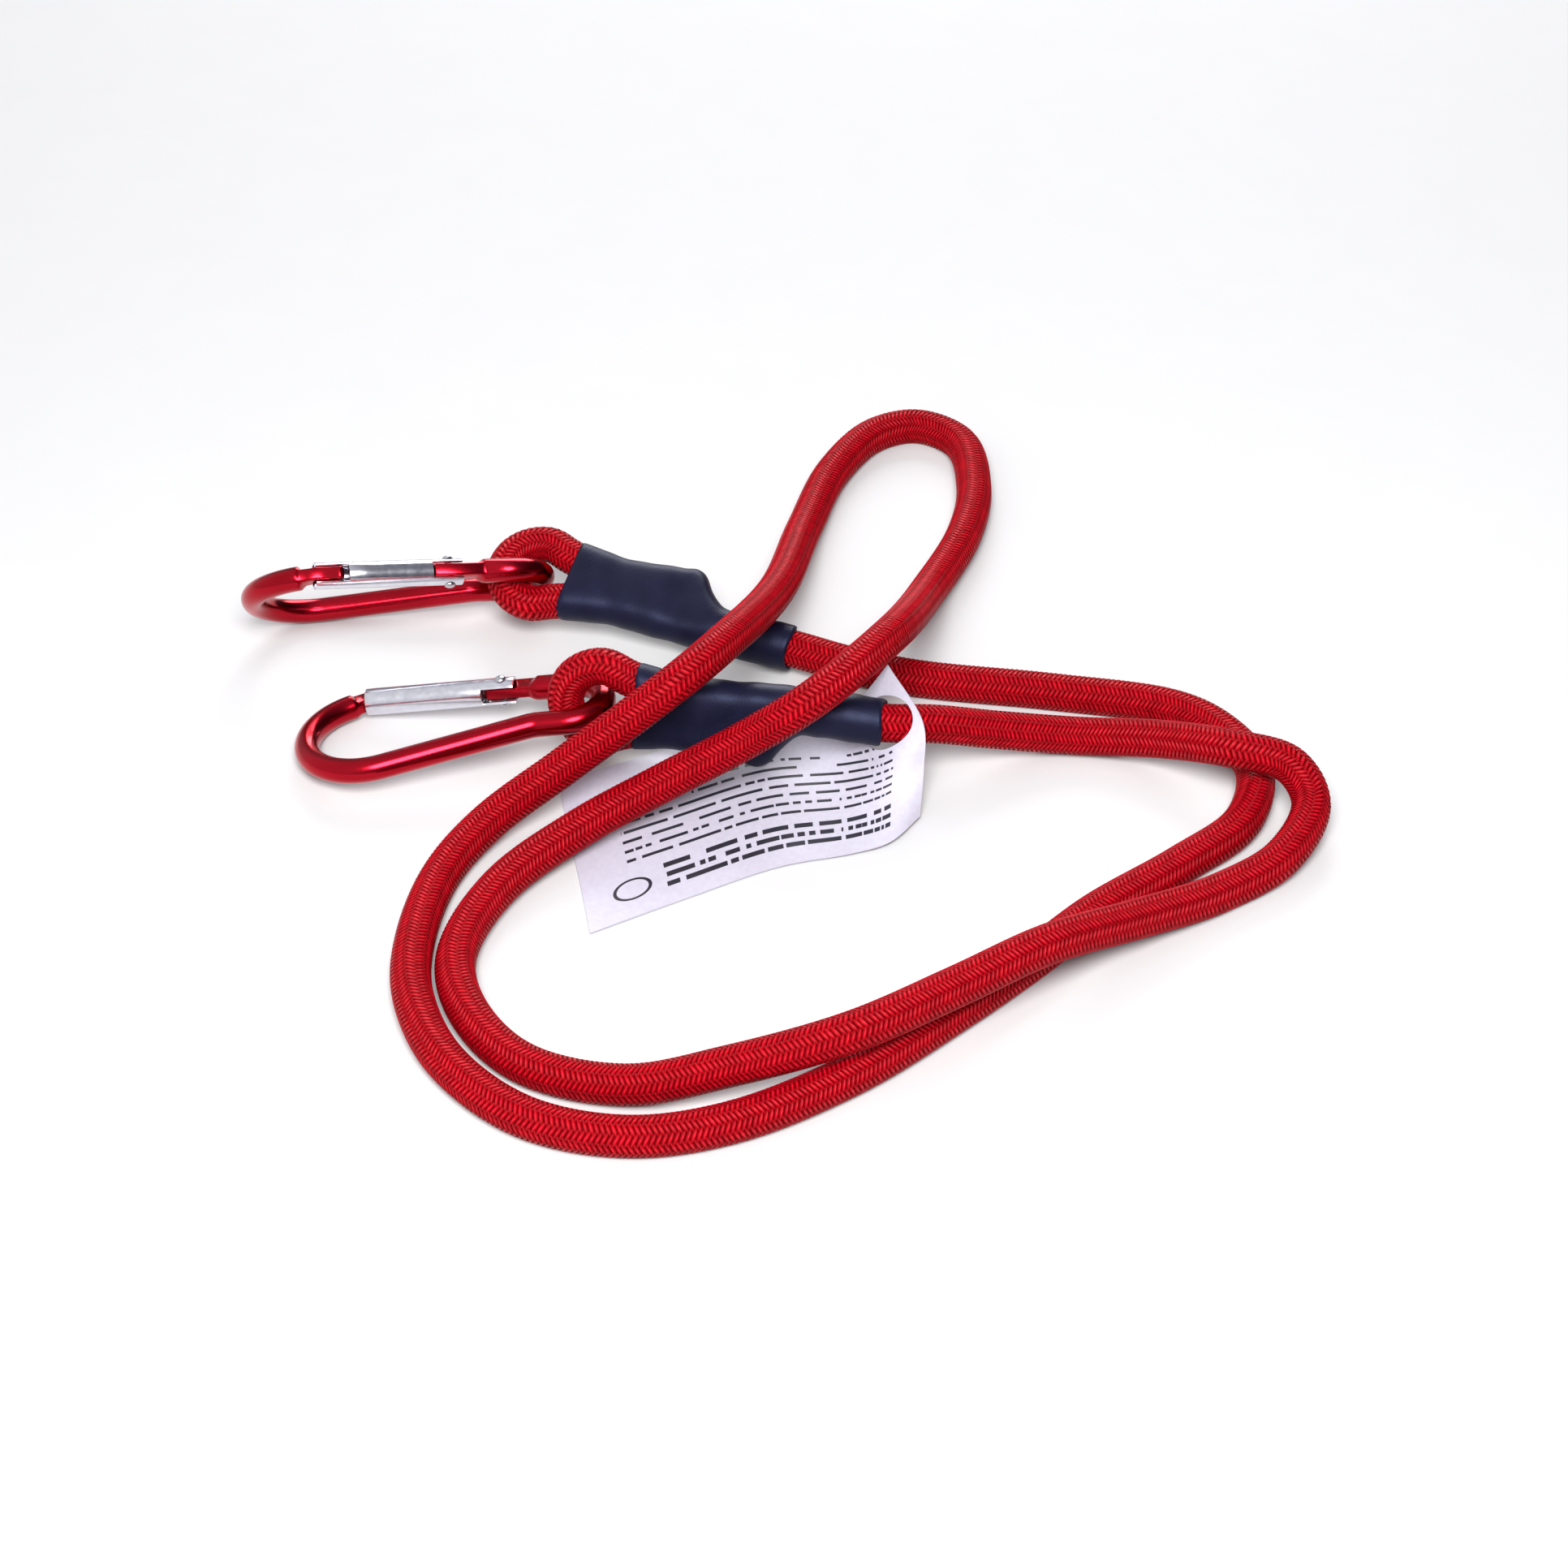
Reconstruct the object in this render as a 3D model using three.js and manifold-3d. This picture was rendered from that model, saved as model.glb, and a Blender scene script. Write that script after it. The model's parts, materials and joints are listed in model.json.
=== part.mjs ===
// An elastic luggage cord with a carabiner on each end, laid down in two loose turns.
// Units are millimetres and +Z is up. The cord lies on the plane z = 0.

import * as THREE from 'three';
import { mergeVertices } from 'three/addons/utils/BufferGeometryUtils.js';
import Module from 'manifold-3d';

const wasm = await Module();
wasm.setup();

// Cord: a braided cover over a bundle of rubber strands.
const cordDiameter = 8;
const coverWall = 1.2;
const coreClearance = 0.35;
const flatDepth = cordDiameter / 10; // the cord's underside is pressed flat where it lies
const coverSides = 10;
const boreSides = 8;
const coreSides = 6;

// End eyes: the cord is folded back on itself and bound.
const eyeRadius = 7.8; // centreline of the eye round the carabiner's bar
const eyeSetback = 7; // from the centre of the eye to the mouth of the sleeve
const legGap = 0.6; // between the two cord legs inside the sleeve
const neckRun = 3; // how far inside the mouth the legs have closed together
const tailLength = 26; // folded-back leg, from the mouth of the sleeve

// Shrunk sleeves over the bound legs.
const sleeveLength = 51;
const sleeveWall = 0.8;
const sleeveFit = 0.25; // between a cord leg and the sleeve
const sleeveSides = 20;
const mouthFlare = 1.2; // the mouth opens this much to each side
const taperRun = 6; // from two legs down to one, past the end of the tail

// Wire clamps round both legs, inside each sleeve.
const clampWidth = 4;
const clampThickness = 0.5;
const clampFit = 0.1; // between a clamp and its neighbours
const clampPlaces = [8, 19]; // from the mouth of the sleeve

// Carabiner frame, a bent round rod. Its gate side is straight, its spine slants.
const rodDiameter = 5.2;
const frameLength = 67.2; // over the rod
const basketRadius = 13.4; // rod centreline at the wide end
const crownRadius = 7.3; // rod centreline at the narrow end
const spineSlant = THREE.MathUtils.degToRad(20.8);
const spineBend = 8; // radius where the spine turns parallel to the gate
const neckLength = 3.5; // straight stretch of the spine next to the crown
const noseStart = THREE.MathUtils.degToRad(27.5); // the rod stops this far before the top of its bend
const tongueThickness = 2.8;
const tongueHeight = 4;
const tongueRise = 0.4; // the tongues' middle lies this far outside the gate's axis
const tongueRoot = 1; // how far a tongue runs into the round rod
const noseNeck = 3; // bare stretch of the nose tongue, between the rod and the gate
const noseReach = 6; // nose tongue inside the gate
const noseHook = 0.4;
const noseHookLength = 1.6;
const hingeNeck = 4.8; // bare stretch of the hinge tongue, between the gate and the rod
const hingeReach = 3.7; // hinge tongue from the rivet on into the gate
const rodSides = 12;
const rodArcSteps = 11; // rings on each bend of the rod
const leastRingStep = 0.3; // rings closer than this are one ring

// Gate, a rolled sheet tube that swings inwards on the rivet.
const gateLength = 32;
const gateDiameter = 5.7;
const gateWall = 0.5;
const rivetSetback = 2.8; // from the hinge end of the gate to the rivet
const slotFit = 0.3; // from a tongue to each side of its slot
const noseSlot = 7.1;
const hingeSlot = 6.7;
const innerNotch = 7;
const stopThickness = 0.8;
const gateSides = 20;
const cutOvershoot = 1; // a cut runs this far past the end of the tube

// Hinge rivet, return spring and plunger.
const rivetDiameter = 1.4;
const rivetFit = 0.15; // pin to gate wall
const tongueFit = 0.25; // pin to tongue
const rivetHeadDiameter = 2.4;
const rivetHeadHeight = 0.6;
const rivetHeadFlat = 1.7; // flat on top of a head
const rivetSeatGap = 0.05; // under a head
const roundSides = 16; // pins, holes and plunger
const plungerDiameter = 4.3;
const plungerLength = 3.4;
const plungerGap = 0.4; // to the end of the hinge tongue
const springDiameter = 3.9; // over the wire
const springWire = 0.6;
const springTurns = 8;
const springFit = 0.15;
const springSides = 5;
const springSteps = 10; // rings on each turn

// How each end lies: where the cord leaves the sleeve, which way the sleeve points,
// how far the eye is rolled, and how the carabiner hangs in the eye. Angles are in degrees,
// and the slip is how far the carabiner lies off the middle of the eye, along and across the sleeve.
const endA = {
  exit: new THREE.Vector3(5.6, 28.6, 5.8),
  yaw: -16.1, pitch: -3.9, roll: 20.8,
  swing: 29.5, tilt: 17.4, twist: -20, slip: [0.3, 0.45],
};
const endB = {
  exit: new THREE.Vector3(24.2, -8.2, 13.7),
  yaw: -9.5, pitch: -3.2, roll: -102.6,
  swing: -13.4, tilt: -1.5, twist: -8.6, slip: [0, 0],
};

// Route of the free cord from sleeve A to sleeve B: x, y, and lift above lying on the ground.
const route = [
  [16.7, 24.8, 1.5], [32, 21, 0.3], [61, 16.5, 0], [85.7, 10.8, 0], [94.6, 3.5, 0], [100.6, -9.8, 0],
  [96.5, -27.5, 0], [82.5, -41.5, 0], [65, -56, 0], [51, -71, 0], [37, -84.8, 0], [16.4, -103, 0],
  [-5.8, -115.9, 0], [-24.5, -119.6, 0], [-43.5, -114.5, 0], [-58.9, -99.7, 0], [-66.7, -81, 0],
  [-67.7, -65.1, 0], [-63.8, -43.8, 0], [-55.2, -29.4, 1.8], [-40.8, -19.3, 7.6], [-26, -13.8, 17],
  [-16.9, -9.3, 22.4], [-9.2, 0.8, 23.2], [2.2, 37.5, 11.2], [8.6, 76, 1.5], [15.5, 101.5, 0],
  [25, 116.5, 0], [35, 120.2, 0], [44.5, 113.3, 0], [47.2, 93.9, 0], [44.2, 74.6, 0.6],
  [35.8, 50.9, 2.5], [24.1, 3.8, 22], [9.5, -13.5, 20.2], [-3.6, -16.3, 12.4], [-21.2, -23.3, 6.2],
  [-36.5, -32.9, 3], [-51.9, -48.5, 0.8], [-59.3, -69.2, 0], [-55.4, -86.3, 0], [-44, -100.3, 0],
  [-25, -106.6, 0.8], [-6.4, -105.4, 4.3], [16.3, -101, 8.8], [36.2, -88.1, 8.7], [54.1, -75.5, 8.4],
  [72.6, -61.6, 3.1], [89.8, -50, 0], [103.3, -39.5, 0.6], [110.4, -25.4, 3.4], [106.5, -18.6, 7.6],
  [95.8, -14.9, 8.8], [81.5, -5, 3.9], [65.3, 0, 0.9], [48.5, -2.1, 4], [34.7, -6.6, 9],
];

// Paper tag: rows of points from its front edge to its back edge, left to right in each row.
const tagThickness = 0.4;
const tagHoleFit = 0.6; // round the cord that runs through the tag
const tagRows = [
  [[-34, -59, 0.4], [-15.4, -48.3, 0.4], [3.4, -38.3, 0.5],
   [18, -34.4, 0.7], [25.3, -31.4, 1], [31.5, -23.2, 1.2]],
  [[-36.7, -43, 0.4], [-17.9, -32.9, 0.5], [1.7, -23, 0.6],
   [17.9, -21.6, 2], [25.8, -20.6, 5], [32.4, -16.9, 9]],
  [[-39.7, -26.9, 0.5], [-20.4, -17.2, 0.6], [-0.2, -7.3, 0.7],
   [17.4, -9.1, 4], [26.1, -14.1, 11], [32.3, -13.3, 17]],
  [[-42.4, -11, 0.6], [-22.8, -1.4, 0.6], [-2.1, 8.4, 0.8],
   [15, 2.5, 6], [21, 0, 15.5], [25.2, -0.2, 22.5]],
];
const tagSteps = 4; // facets between two neighbouring points

const colours = {
  cord: 0xc8141c, rubber: 0xd9c9a3, sleeve: 0x1b1c28, steel: 0xb9bcc4,
  frame: 0xb01020, gate: 0xd4d6de, tag: 0xf2eff7,
};

// Sizes that follow from the ones above.
const cordRadius = cordDiameter / 2;
const lyingHeight = cordRadius - flatDepth;
const legOffset = cordRadius + legGap / 2;
const rodRadius = rodDiameter / 2;
const crownX = frameLength - rodDiameter; // rod centreline at the crown
const noseX = basketRadius - basketRadius * Math.sin(noseStart);
const noseY = basketRadius * Math.cos(noseStart) - basketRadius;
const gateStart = noseX + noseNeck;
const gateEnd = gateStart + gateLength;
const hingeX = gateEnd - rivetSetback;
const tongueEnd = hingeX - hingeReach;
const rodEnd = gateEnd + hingeNeck;
const plungerFace = tongueEnd - plungerGap;

const part = new THREE.Group();
part.name = 'bungee_cord';

// Turns a closed geometry into a solid that can be joined and cut.
function solid(geometry) {
  const bare = new THREE.BufferGeometry();
  bare.setAttribute('position', geometry.getAttribute('position').clone());
  if (geometry.index) {
    bare.setIndex(geometry.index.clone());
  }
  const welded = mergeVertices(bare, 1e-4);
  return new wasm.Manifold(new wasm.Mesh({
    numProp: 3,
    vertProperties: Float32Array.from(welded.getAttribute('position').array),
    triVerts: Uint32Array.from(welded.index.array),
  }));
}

// Turns a solid back into a geometry.
function geometryOf(body) {
  const mesh = body.getMesh();
  const geometry = new THREE.BufferGeometry();
  geometry.setAttribute('position', new THREE.BufferAttribute(Float32Array.from(mesh.vertProperties), 3));
  geometry.setIndex(new THREE.BufferAttribute(Uint32Array.from(mesh.triVerts), 1));
  geometry.computeVertexNormals();
  return geometry;
}

function addPiece(parent, name, geometry, colour, roughness, metalness) {
  const material = new THREE.MeshStandardMaterial({ color: colour, roughness, metalness });
  const mesh = new THREE.Mesh(geometry, material);
  mesh.name = name;
  parent.add(mesh);
  return mesh;
}

// A box given by its lowest and highest corner.
function block(low, high) {
  const geometry = new THREE.BoxGeometry(high[0] - low[0], high[1] - low[1], high[2] - low[2]);
  geometry.translate((low[0] + high[0]) / 2, (low[1] + high[1]) / 2, (low[2] + high[2]) / 2);
  return geometry;
}

// A round bar along X.
function barAlongX(radius, from, to, sides) {
  const geometry = new THREE.CylinderGeometry(radius, radius, to - from, sides);
  geometry.rotateZ(Math.PI / 2);
  geometry.translate((from + to) / 2, 0, 0);
  return geometry;
}

// A regular polygon with its corners on the given radius.
function polygon(radius, sides, PathType = THREE.Shape) {
  const points = [];
  for (let i = 0; i < sides; i += 1) {
    const angle = (i / sides) * 2 * Math.PI;
    points.push(new THREE.Vector2(radius * Math.cos(angle), radius * Math.sin(angle)));
  }
  return new PathType(points);
}

// A smooth curve whose rings fall on its own points, so they sit closer where it bends more.
// Between two points there are as many steps as the list says.
class RingCurve extends THREE.CatmullRomCurve3 {
  constructor(points, stepsBetween) {
    super(points, false, 'centripetal');
    this.ringPlaces = [0];
    stepsBetween.forEach((count, i) => {
      for (let step = 1; step <= count; step += 1) {
        this.ringPlaces.push((i + step / count) / stepsBetween.length);
      }
    });
  }

  get steps() {
    return this.ringPlaces.length - 1;
  }

  getUtoTmapping(u) {
    const place = Math.min(u, 1) * this.steps;
    const ring = Math.min(Math.floor(place), this.steps - 1);
    return THREE.MathUtils.lerp(this.ringPlaces[ring], this.ringPlaces[ring + 1], place - ring);
  }
}

function sweep(shape, curve) {
  return new THREE.ExtrudeGeometry(shape, { extrudePath: curve, steps: curve.steps, bevelEnabled: false });
}

// A group at the mouth of a sleeve: X runs to the cord's exit, Y to the folded-back leg.
function makeEnd(name, end) {
  const group = new THREE.Group();
  group.name = name;
  const turn = THREE.MathUtils.degToRad;
  group.rotation.set(turn(end.roll), -turn(end.pitch), turn(end.yaw), 'ZYX');
  const mouthToExit = new THREE.Vector3(sleeveLength, -legOffset, 0).applyEuler(group.rotation);
  group.position.copy(end.exit).sub(mouthToExit);
  group.updateMatrixWorld(true);
  part.add(group);
  return group;
}

// The eye and its two legs, from the tail to the exit, in the frame of the end's group.
function eyePoints() {
  const eyeCentre = -eyeSetback;
  const between = [(neckRun + eyeCentre) / 2, (legOffset + eyeRadius) / 2];
  const points = [[tailLength, legOffset], [tailLength / 2, legOffset]];
  points.push([2 * neckRun, legOffset], [neckRun, legOffset + legGap / 2], between);
  const arcSteps = 6;
  for (let i = 0; i <= arcSteps; i += 1) {
    const angle = Math.PI / 2 + (i / arcSteps) * Math.PI;
    points.push([eyeCentre + eyeRadius * Math.cos(angle), eyeRadius * Math.sin(angle)]);
  }
  points.push([between[0], -between[1]], [neckRun, -legOffset - legGap / 2], [2 * neckRun, -legOffset]);
  points.push([sleeveLength / 3, -legOffset], [2 * sleeveLength / 3, -legOffset]);
  points.push([sleeveLength, -legOffset]);
  return points.map(([x, y]) => new THREE.Vector3(x, y, 0));
}

const groupA = makeEnd('end_a', endA);
const groupB = makeEnd('end_b', endB);

// The cord runs from the tail in sleeve A, round eye A, along the route, round eye B, to tail B.
const eyeA = eyePoints().map((point) => point.applyMatrix4(groupA.matrixWorld));
const eyeB = eyePoints().map((point) => point.applyMatrix4(groupB.matrixWorld)).reverse();
const free = route.map(([x, y, lift]) => new THREE.Vector3(x, y, lyingHeight + lift));
const cordPoints = [...eyeA, ...free, ...eyeB];
const stepsInEye = 1;
const stepsOnRoute = 2;
const stepsBetween = cordPoints.slice(1).map((point, i) => {
  const inEye = i < eyeA.length - 1 || i >= eyeA.length + free.length;
  return inEye ? stepsInEye : stepsOnRoute;
});
const cordCurve = new RingCurve(cordPoints, stepsBetween);

// Cover: a tube, cut flat underneath where it lies on the ground.
const coverShape = polygon(cordRadius, coverSides);
coverShape.holes.push(polygon(cordRadius - coverWall, boreSides, THREE.Path));
const reach = cordDiameter + Math.max(...cordPoints.flatMap(({ x, y }) => [Math.abs(x), Math.abs(y)]));
const ground = block([-reach, -reach, -cordDiameter], [reach, reach, 0]);
const cover = solid(sweep(coverShape, cordCurve)).subtract(solid(ground));
addPiece(part, 'cord_cover', geometryOf(cover), colours.cord, 0.75, 0);

// Core: the rubber strands, drawn as one bundle inside the cover.
const boreInside = (cordRadius - coverWall) * Math.cos(Math.PI / boreSides);
const coreShape = polygon(boreInside - coreClearance, coreSides);
addPiece(part, 'rubber_core', sweep(coreShape, cordCurve), colours.rubber, 0.9, 0);

// Least gap between two stretches of the cord that are apart along its length.
function leastGap(curve) {
  const rings = curve.getSpacedPoints(curve.steps * 4);
  const along = [0];
  for (let i = 1; i < rings.length; i += 1) {
    along.push(along[i - 1] + rings[i].distanceTo(rings[i - 1]));
  }
  const apart = 4 * cordDiameter;
  let least = Infinity;
  let where = 0;
  for (let i = 0; i < rings.length; i += 1) {
    for (let j = i + 1; j < rings.length; j += 1) {
      if (along[j] - along[i] > apart && rings[i].distanceTo(rings[j]) < least) {
        least = rings[i].distanceTo(rings[j]);
        where = i;
      }
    }
  }
  const [x, y, z] = rings[where].toArray().map((value) => value.toFixed(1));
  console.log(`cord length ${along[along.length - 1].toFixed(0)} mm`);
  const gap = (least - cordDiameter).toFixed(2);
  console.log(`least gap of the cord to itself ${gap} mm at ${x}, ${y}, ${z}`);
}
leastGap(cordCurve);

// A ring of points round two legs: half circles on the centres, given as Y values, in the plane x.
function ringRoundLegs(x, lowLeg, highLeg, radius) {
  const half = sleeveSides / 2;
  const points = [];
  for (let i = 0; i < half; i += 1) {
    const angle = (i / (half - 1)) * Math.PI;
    points.push([x, highLeg + radius * Math.sin(angle), radius * Math.cos(angle)]);
  }
  for (let i = 0; i < half; i += 1) {
    const angle = Math.PI + (i / (half - 1)) * Math.PI;
    points.push([x, lowLeg + radius * Math.sin(angle), radius * Math.cos(angle)]);
  }
  return points;
}

// A closed shell through a loop of rings: each ring is joined to the next, the last to the first.
function closedShell(rings) {
  const sides = rings[0].length;
  const index = [];
  rings.forEach((ring, i) => {
    const next = (i + 1) % rings.length;
    for (let j = 0; j < sides; j += 1) {
      const k = (j + 1) % sides;
      const a = i * sides + j;
      const b = i * sides + k;
      const c = next * sides + j;
      const d = next * sides + k;
      index.push(a, c, b, b, c, d);
    }
  });
  const geometry = new THREE.BufferGeometry();
  geometry.setAttribute('position', new THREE.Float32BufferAttribute(rings.flat(2), 3));
  geometry.setIndex(index);
  geometry.computeVertexNormals();
  return geometry;
}

// Sleeve: a shrunk tube round both legs that narrows to one leg past the end of the tail.
function makeSleeve() {
  const besideClamp = cordRadius + 2 * clampFit + clampThickness;
  const besideCord = cordRadius + sleeveFit;
  const lastClamp = clampPlaces[clampPlaces.length - 1] + clampWidth;
  const stations = [
    [0, -legOffset - mouthFlare, legOffset + mouthFlare, besideCord],
    [2 * neckRun, -legOffset, legOffset, besideClamp],
    [lastClamp + clampWidth / 2, -legOffset, legOffset, besideClamp],
    [tailLength + clampFit, -legOffset, legOffset, besideCord],
    [tailLength + taperRun / 2, -legOffset, 0, besideCord],
    [tailLength + taperRun, -legOffset, -legOffset, besideCord],
    [sleeveLength, -legOffset, -legOffset, besideCord],
  ];
  const inner = stations.map(([x, low, high, radius]) => ringRoundLegs(x, low, high, radius));
  const outer = stations.map(([x, low, high, radius]) => (
    ringRoundLegs(x, low, high, radius + sleeveWall)
  ));
  return closedShell([...outer, ...inner.reverse()]);
}

// Clamp: a flat steel band round both legs.
function makeClamp(place) {
  const inside = cordRadius + clampFit;
  const outside = inside + clampThickness;
  const rings = [
    [place, outside], [place + clampWidth, outside], [place + clampWidth, inside], [place, inside],
  ];
  return closedShell(rings.map(([x, radius]) => ringRoundLegs(x, -legOffset, legOffset, radius)));
}

// A flat tongue with its outline in the plane of the frame.
function tongue(outline) {
  const shape = new THREE.Shape(outline.map(([x, y]) => new THREE.Vector2(x, y)));
  const geometry = new THREE.ExtrudeGeometry(shape, { depth: tongueThickness, bevelEnabled: false });
  geometry.translate(0, 0, -tongueThickness / 2);
  return geometry;
}

// Frame: the bent rod with a flat tongue on each end, in its own plane. The gate lies on y = 0.
function makeFrame() {
  const spineEnd = crownX - crownRadius - neckLength;
  const bendRun = spineBend * Math.tan(spineSlant / 2);
  const outline = new THREE.Path();
  outline.absarc(basketRadius, -basketRadius, basketRadius, Math.PI / 2 + noseStart,
    1.5 * Math.PI + spineSlant, false);
  outline.absarc(spineEnd - bendRun, -2 * crownRadius - spineBend, spineBend,
    Math.PI / 2 + spineSlant, Math.PI / 2, true);
  outline.absarc(crownX - crownRadius, -crownRadius, crownRadius, -Math.PI / 2, Math.PI / 2, false);
  outline.lineTo(rodEnd, 0);
  const bends = outline.getPoints(rodArcSteps);
  const points = bends.map((point) => new THREE.Vector3(point.x, point.y, 0));
  const rings = points.filter((point, i) => i === 0 || point.distanceTo(points[i - 1]) > leastRingStep);
  const rod = sweep(polygon(rodRadius, rodSides), new RingCurve(rings, rings.slice(1).map(() => 1)));
  const low = tongueRise - tongueHeight / 2;
  const high = tongueRise + tongueHeight / 2;
  const root = new THREE.Vector2(noseX, noseY);
  root.addScaledVector(new THREE.Vector2(Math.cos(noseStart), Math.sin(noseStart)), -tongueRoot);
  const rootHalf = new THREE.Vector2(-Math.sin(noseStart), Math.cos(noseStart));
  rootHalf.multiplyScalar(tongueHeight / 2);
  const tip = gateStart + noseReach;
  const nose = tongue([
    [root.x - rootHalf.x, root.y - rootHalf.y], [gateStart, low], [tip, low], [tip, high + noseHook],
    [tip - noseHookLength, high + noseHook], [tip - noseHookLength, high], [gateStart, high],
    [root.x + rootHalf.x, root.y + rootHalf.y],
  ]);
  const hingeRoot = rodEnd + tongueRoot;
  const hinge = tongue([[tongueEnd, low], [hingeRoot, low], [hingeRoot, high], [tongueEnd, high]]);
  const hole = new THREE.CylinderGeometry(
    rivetDiameter / 2 + tongueFit, rivetDiameter / 2 + tongueFit, 2 * rodDiameter, roundSides,
  );
  hole.rotateX(Math.PI / 2);
  hole.translate(hingeX, 0, 0);
  const whole = solid(rod).add(solid(nose)).add(solid(hinge));
  return geometryOf(whole.subtract(solid(hole)));
}

// Gate: a tube with a slot in its roof at both ends and a notch on the inner side at the hinge.
function makeGate() {
  const outside = gateDiameter / 2;
  const inside = outside - gateWall;
  const stopFrom = gateStart + noseSlot;
  const tube = solid(barAlongX(outside, gateStart, gateEnd, gateSides))
    .subtract(solid(barAlongX(inside, gateStart - cutOvershoot, gateEnd + cutOvershoot, gateSides)));
  const stop = solid(barAlongX(inside + gateWall / 2, stopFrom, stopFrom + stopThickness, gateSides));
  const deep = gateDiameter;
  const half = tongueThickness / 2 + slotFit;
  const past = gateEnd + cutOvershoot;
  const noseRoof = block([gateStart - cutOvershoot, 0, -half], [stopFrom, deep, half]);
  const hingeRoof = block([gateEnd - hingeSlot, 0, -half], [past, deep, half]);
  const notch = block([gateEnd - innerNotch, -deep, -half], [past, 0, half]);
  const hole = new THREE.CylinderGeometry(
    rivetDiameter / 2 + rivetFit, rivetDiameter / 2 + rivetFit, 2 * gateDiameter, roundSides,
  );
  hole.rotateX(Math.PI / 2);
  hole.translate(hingeX, 0, 0);
  const cuts = [noseRoof, hingeRoof, notch, hole];
  return geometryOf(cuts.reduce((body, cut) => body.subtract(solid(cut)), tube.add(stop)));
}

// Rivet: a pin with a domed head on each side of the gate.
function makeRivet() {
  const pin = rivetDiameter / 2;
  const head = rivetHeadDiameter / 2;
  const flat = rivetHeadFlat / 2;
  const seat = gateDiameter / 2 + rivetSeatGap;
  const top = seat + rivetHeadHeight;
  const shoulder = seat + rivetHeadHeight / 2;
  const profile = [
    [0, -top], [flat, -top], [head, -shoulder], [head, -seat], [pin, -seat],
    [pin, seat], [head, seat], [head, shoulder], [flat, top], [0, top],
  ];
  const geometry = new THREE.LatheGeometry(profile.map(([x, y]) => new THREE.Vector2(x, y)), roundSides);
  geometry.rotateX(Math.PI / 2);
  geometry.translate(hingeX, 0, 0);
  return geometryOf(solid(geometry));
}

// Plunger: a stub that the spring presses against the end of the hinge tongue.
function makePlunger() {
  return barAlongX(plungerDiameter / 2, plungerFace - plungerLength, plungerFace, roundSides);
}

// Spring: an open coil between the stop in the gate and the plunger.
function makeSpring() {
  const from = gateStart + noseSlot + stopThickness + springFit + springWire / 2;
  const to = plungerFace - plungerLength - springFit - springWire / 2;
  const radius = (springDiameter - springWire) / 2;
  const points = [];
  for (let i = 0; i <= springTurns * springSteps; i += 1) {
    const angle = (i / springSteps) * 2 * Math.PI;
    const x = THREE.MathUtils.lerp(from, to, i / (springTurns * springSteps));
    points.push(new THREE.Vector3(x, radius * Math.cos(angle), radius * Math.sin(angle)));
  }
  const gap = (to - from) / springTurns - springWire;
  console.log(`least gap between the turns of the gate spring ${gap.toFixed(2)} mm`);
  return sweep(polygon(springWire / 2, springSides), new RingCurve(points, points.slice(1).map(() => 1)));
}

// Prints where a joint is, in metres, and which way its axis points.
function printJoint(name, holder, place, axis) {
  const at = holder.localToWorld(place.clone()).divideScalar(1000);
  const along = axis.clone().transformDirection(holder.matrixWorld);
  const row = (vector) => vector.toArray().map((value) => value.toFixed(5)).join(', ');
  console.log(`${name}: pos ${row(at)}; axis ${row(along)}`);
}

// Sleeve, clamps and carabiner of one end.
function fillEnd(letter, group, end) {
  const turn = THREE.MathUtils.degToRad;
  addPiece(group, `sleeve_${letter}`, makeSleeve(), colours.sleeve, 0.55, 0);
  clampPlaces.forEach((place, i) => {
    addPiece(group, `clamp_${letter}${i + 1}`, makeClamp(place), colours.steel, 0.4, 0.9);
  });

  // The carabiner swings about the eye, tilts over the cord and twists about its own length.
  const swing = new THREE.Group();
  swing.position.set(end.slip[0] - eyeSetback, end.slip[1], 0);
  swing.rotation.z = turn(end.swing);
  group.add(swing);
  const tilt = new THREE.Group();
  tilt.position.set(-crownRadius, 0, 0);
  tilt.rotation.y = turn(end.tilt);
  swing.add(tilt);
  const twist = new THREE.Group();
  twist.rotation.x = Math.PI / 2 - turn(end.twist);
  tilt.add(twist);
  const carabiner = new THREE.Group();
  carabiner.name = `carabiner_${letter}`;
  carabiner.position.set(crownRadius - crownX, crownRadius, 0);
  twist.add(carabiner);

  addPiece(carabiner, `frame_${letter}`, makeFrame(), colours.frame, 0.25, 0.9);
  addPiece(carabiner, `gate_${letter}`, makeGate(), colours.gate, 0.25, 0.95);
  addPiece(carabiner, `hinge_rivet_${letter}`, makeRivet(), colours.steel, 0.3, 0.9);
  addPiece(carabiner, `plunger_${letter}`, makePlunger(), colours.steel, 0.4, 0.9);
  addPiece(carabiner, `gate_spring_${letter}`, makeSpring(), colours.steel, 0.4, 0.9);

  group.updateMatrixWorld(true);
  printJoint(`carabiner_${letter}_swing`, group, swing.position, new THREE.Vector3(0, 0, 1));
  printJoint(`gate_${letter}_open`, carabiner, new THREE.Vector3(hingeX, 0, 0), new THREE.Vector3(0, 0, 1));
  printJoint(`plunger_${letter}_slide`, carabiner, new THREE.Vector3(plungerFace, 0, 0),
    new THREE.Vector3(-1, 0, 0));
}
fillEnd('a', groupA, endA);
fillEnd('b', groupB, endB);

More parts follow.
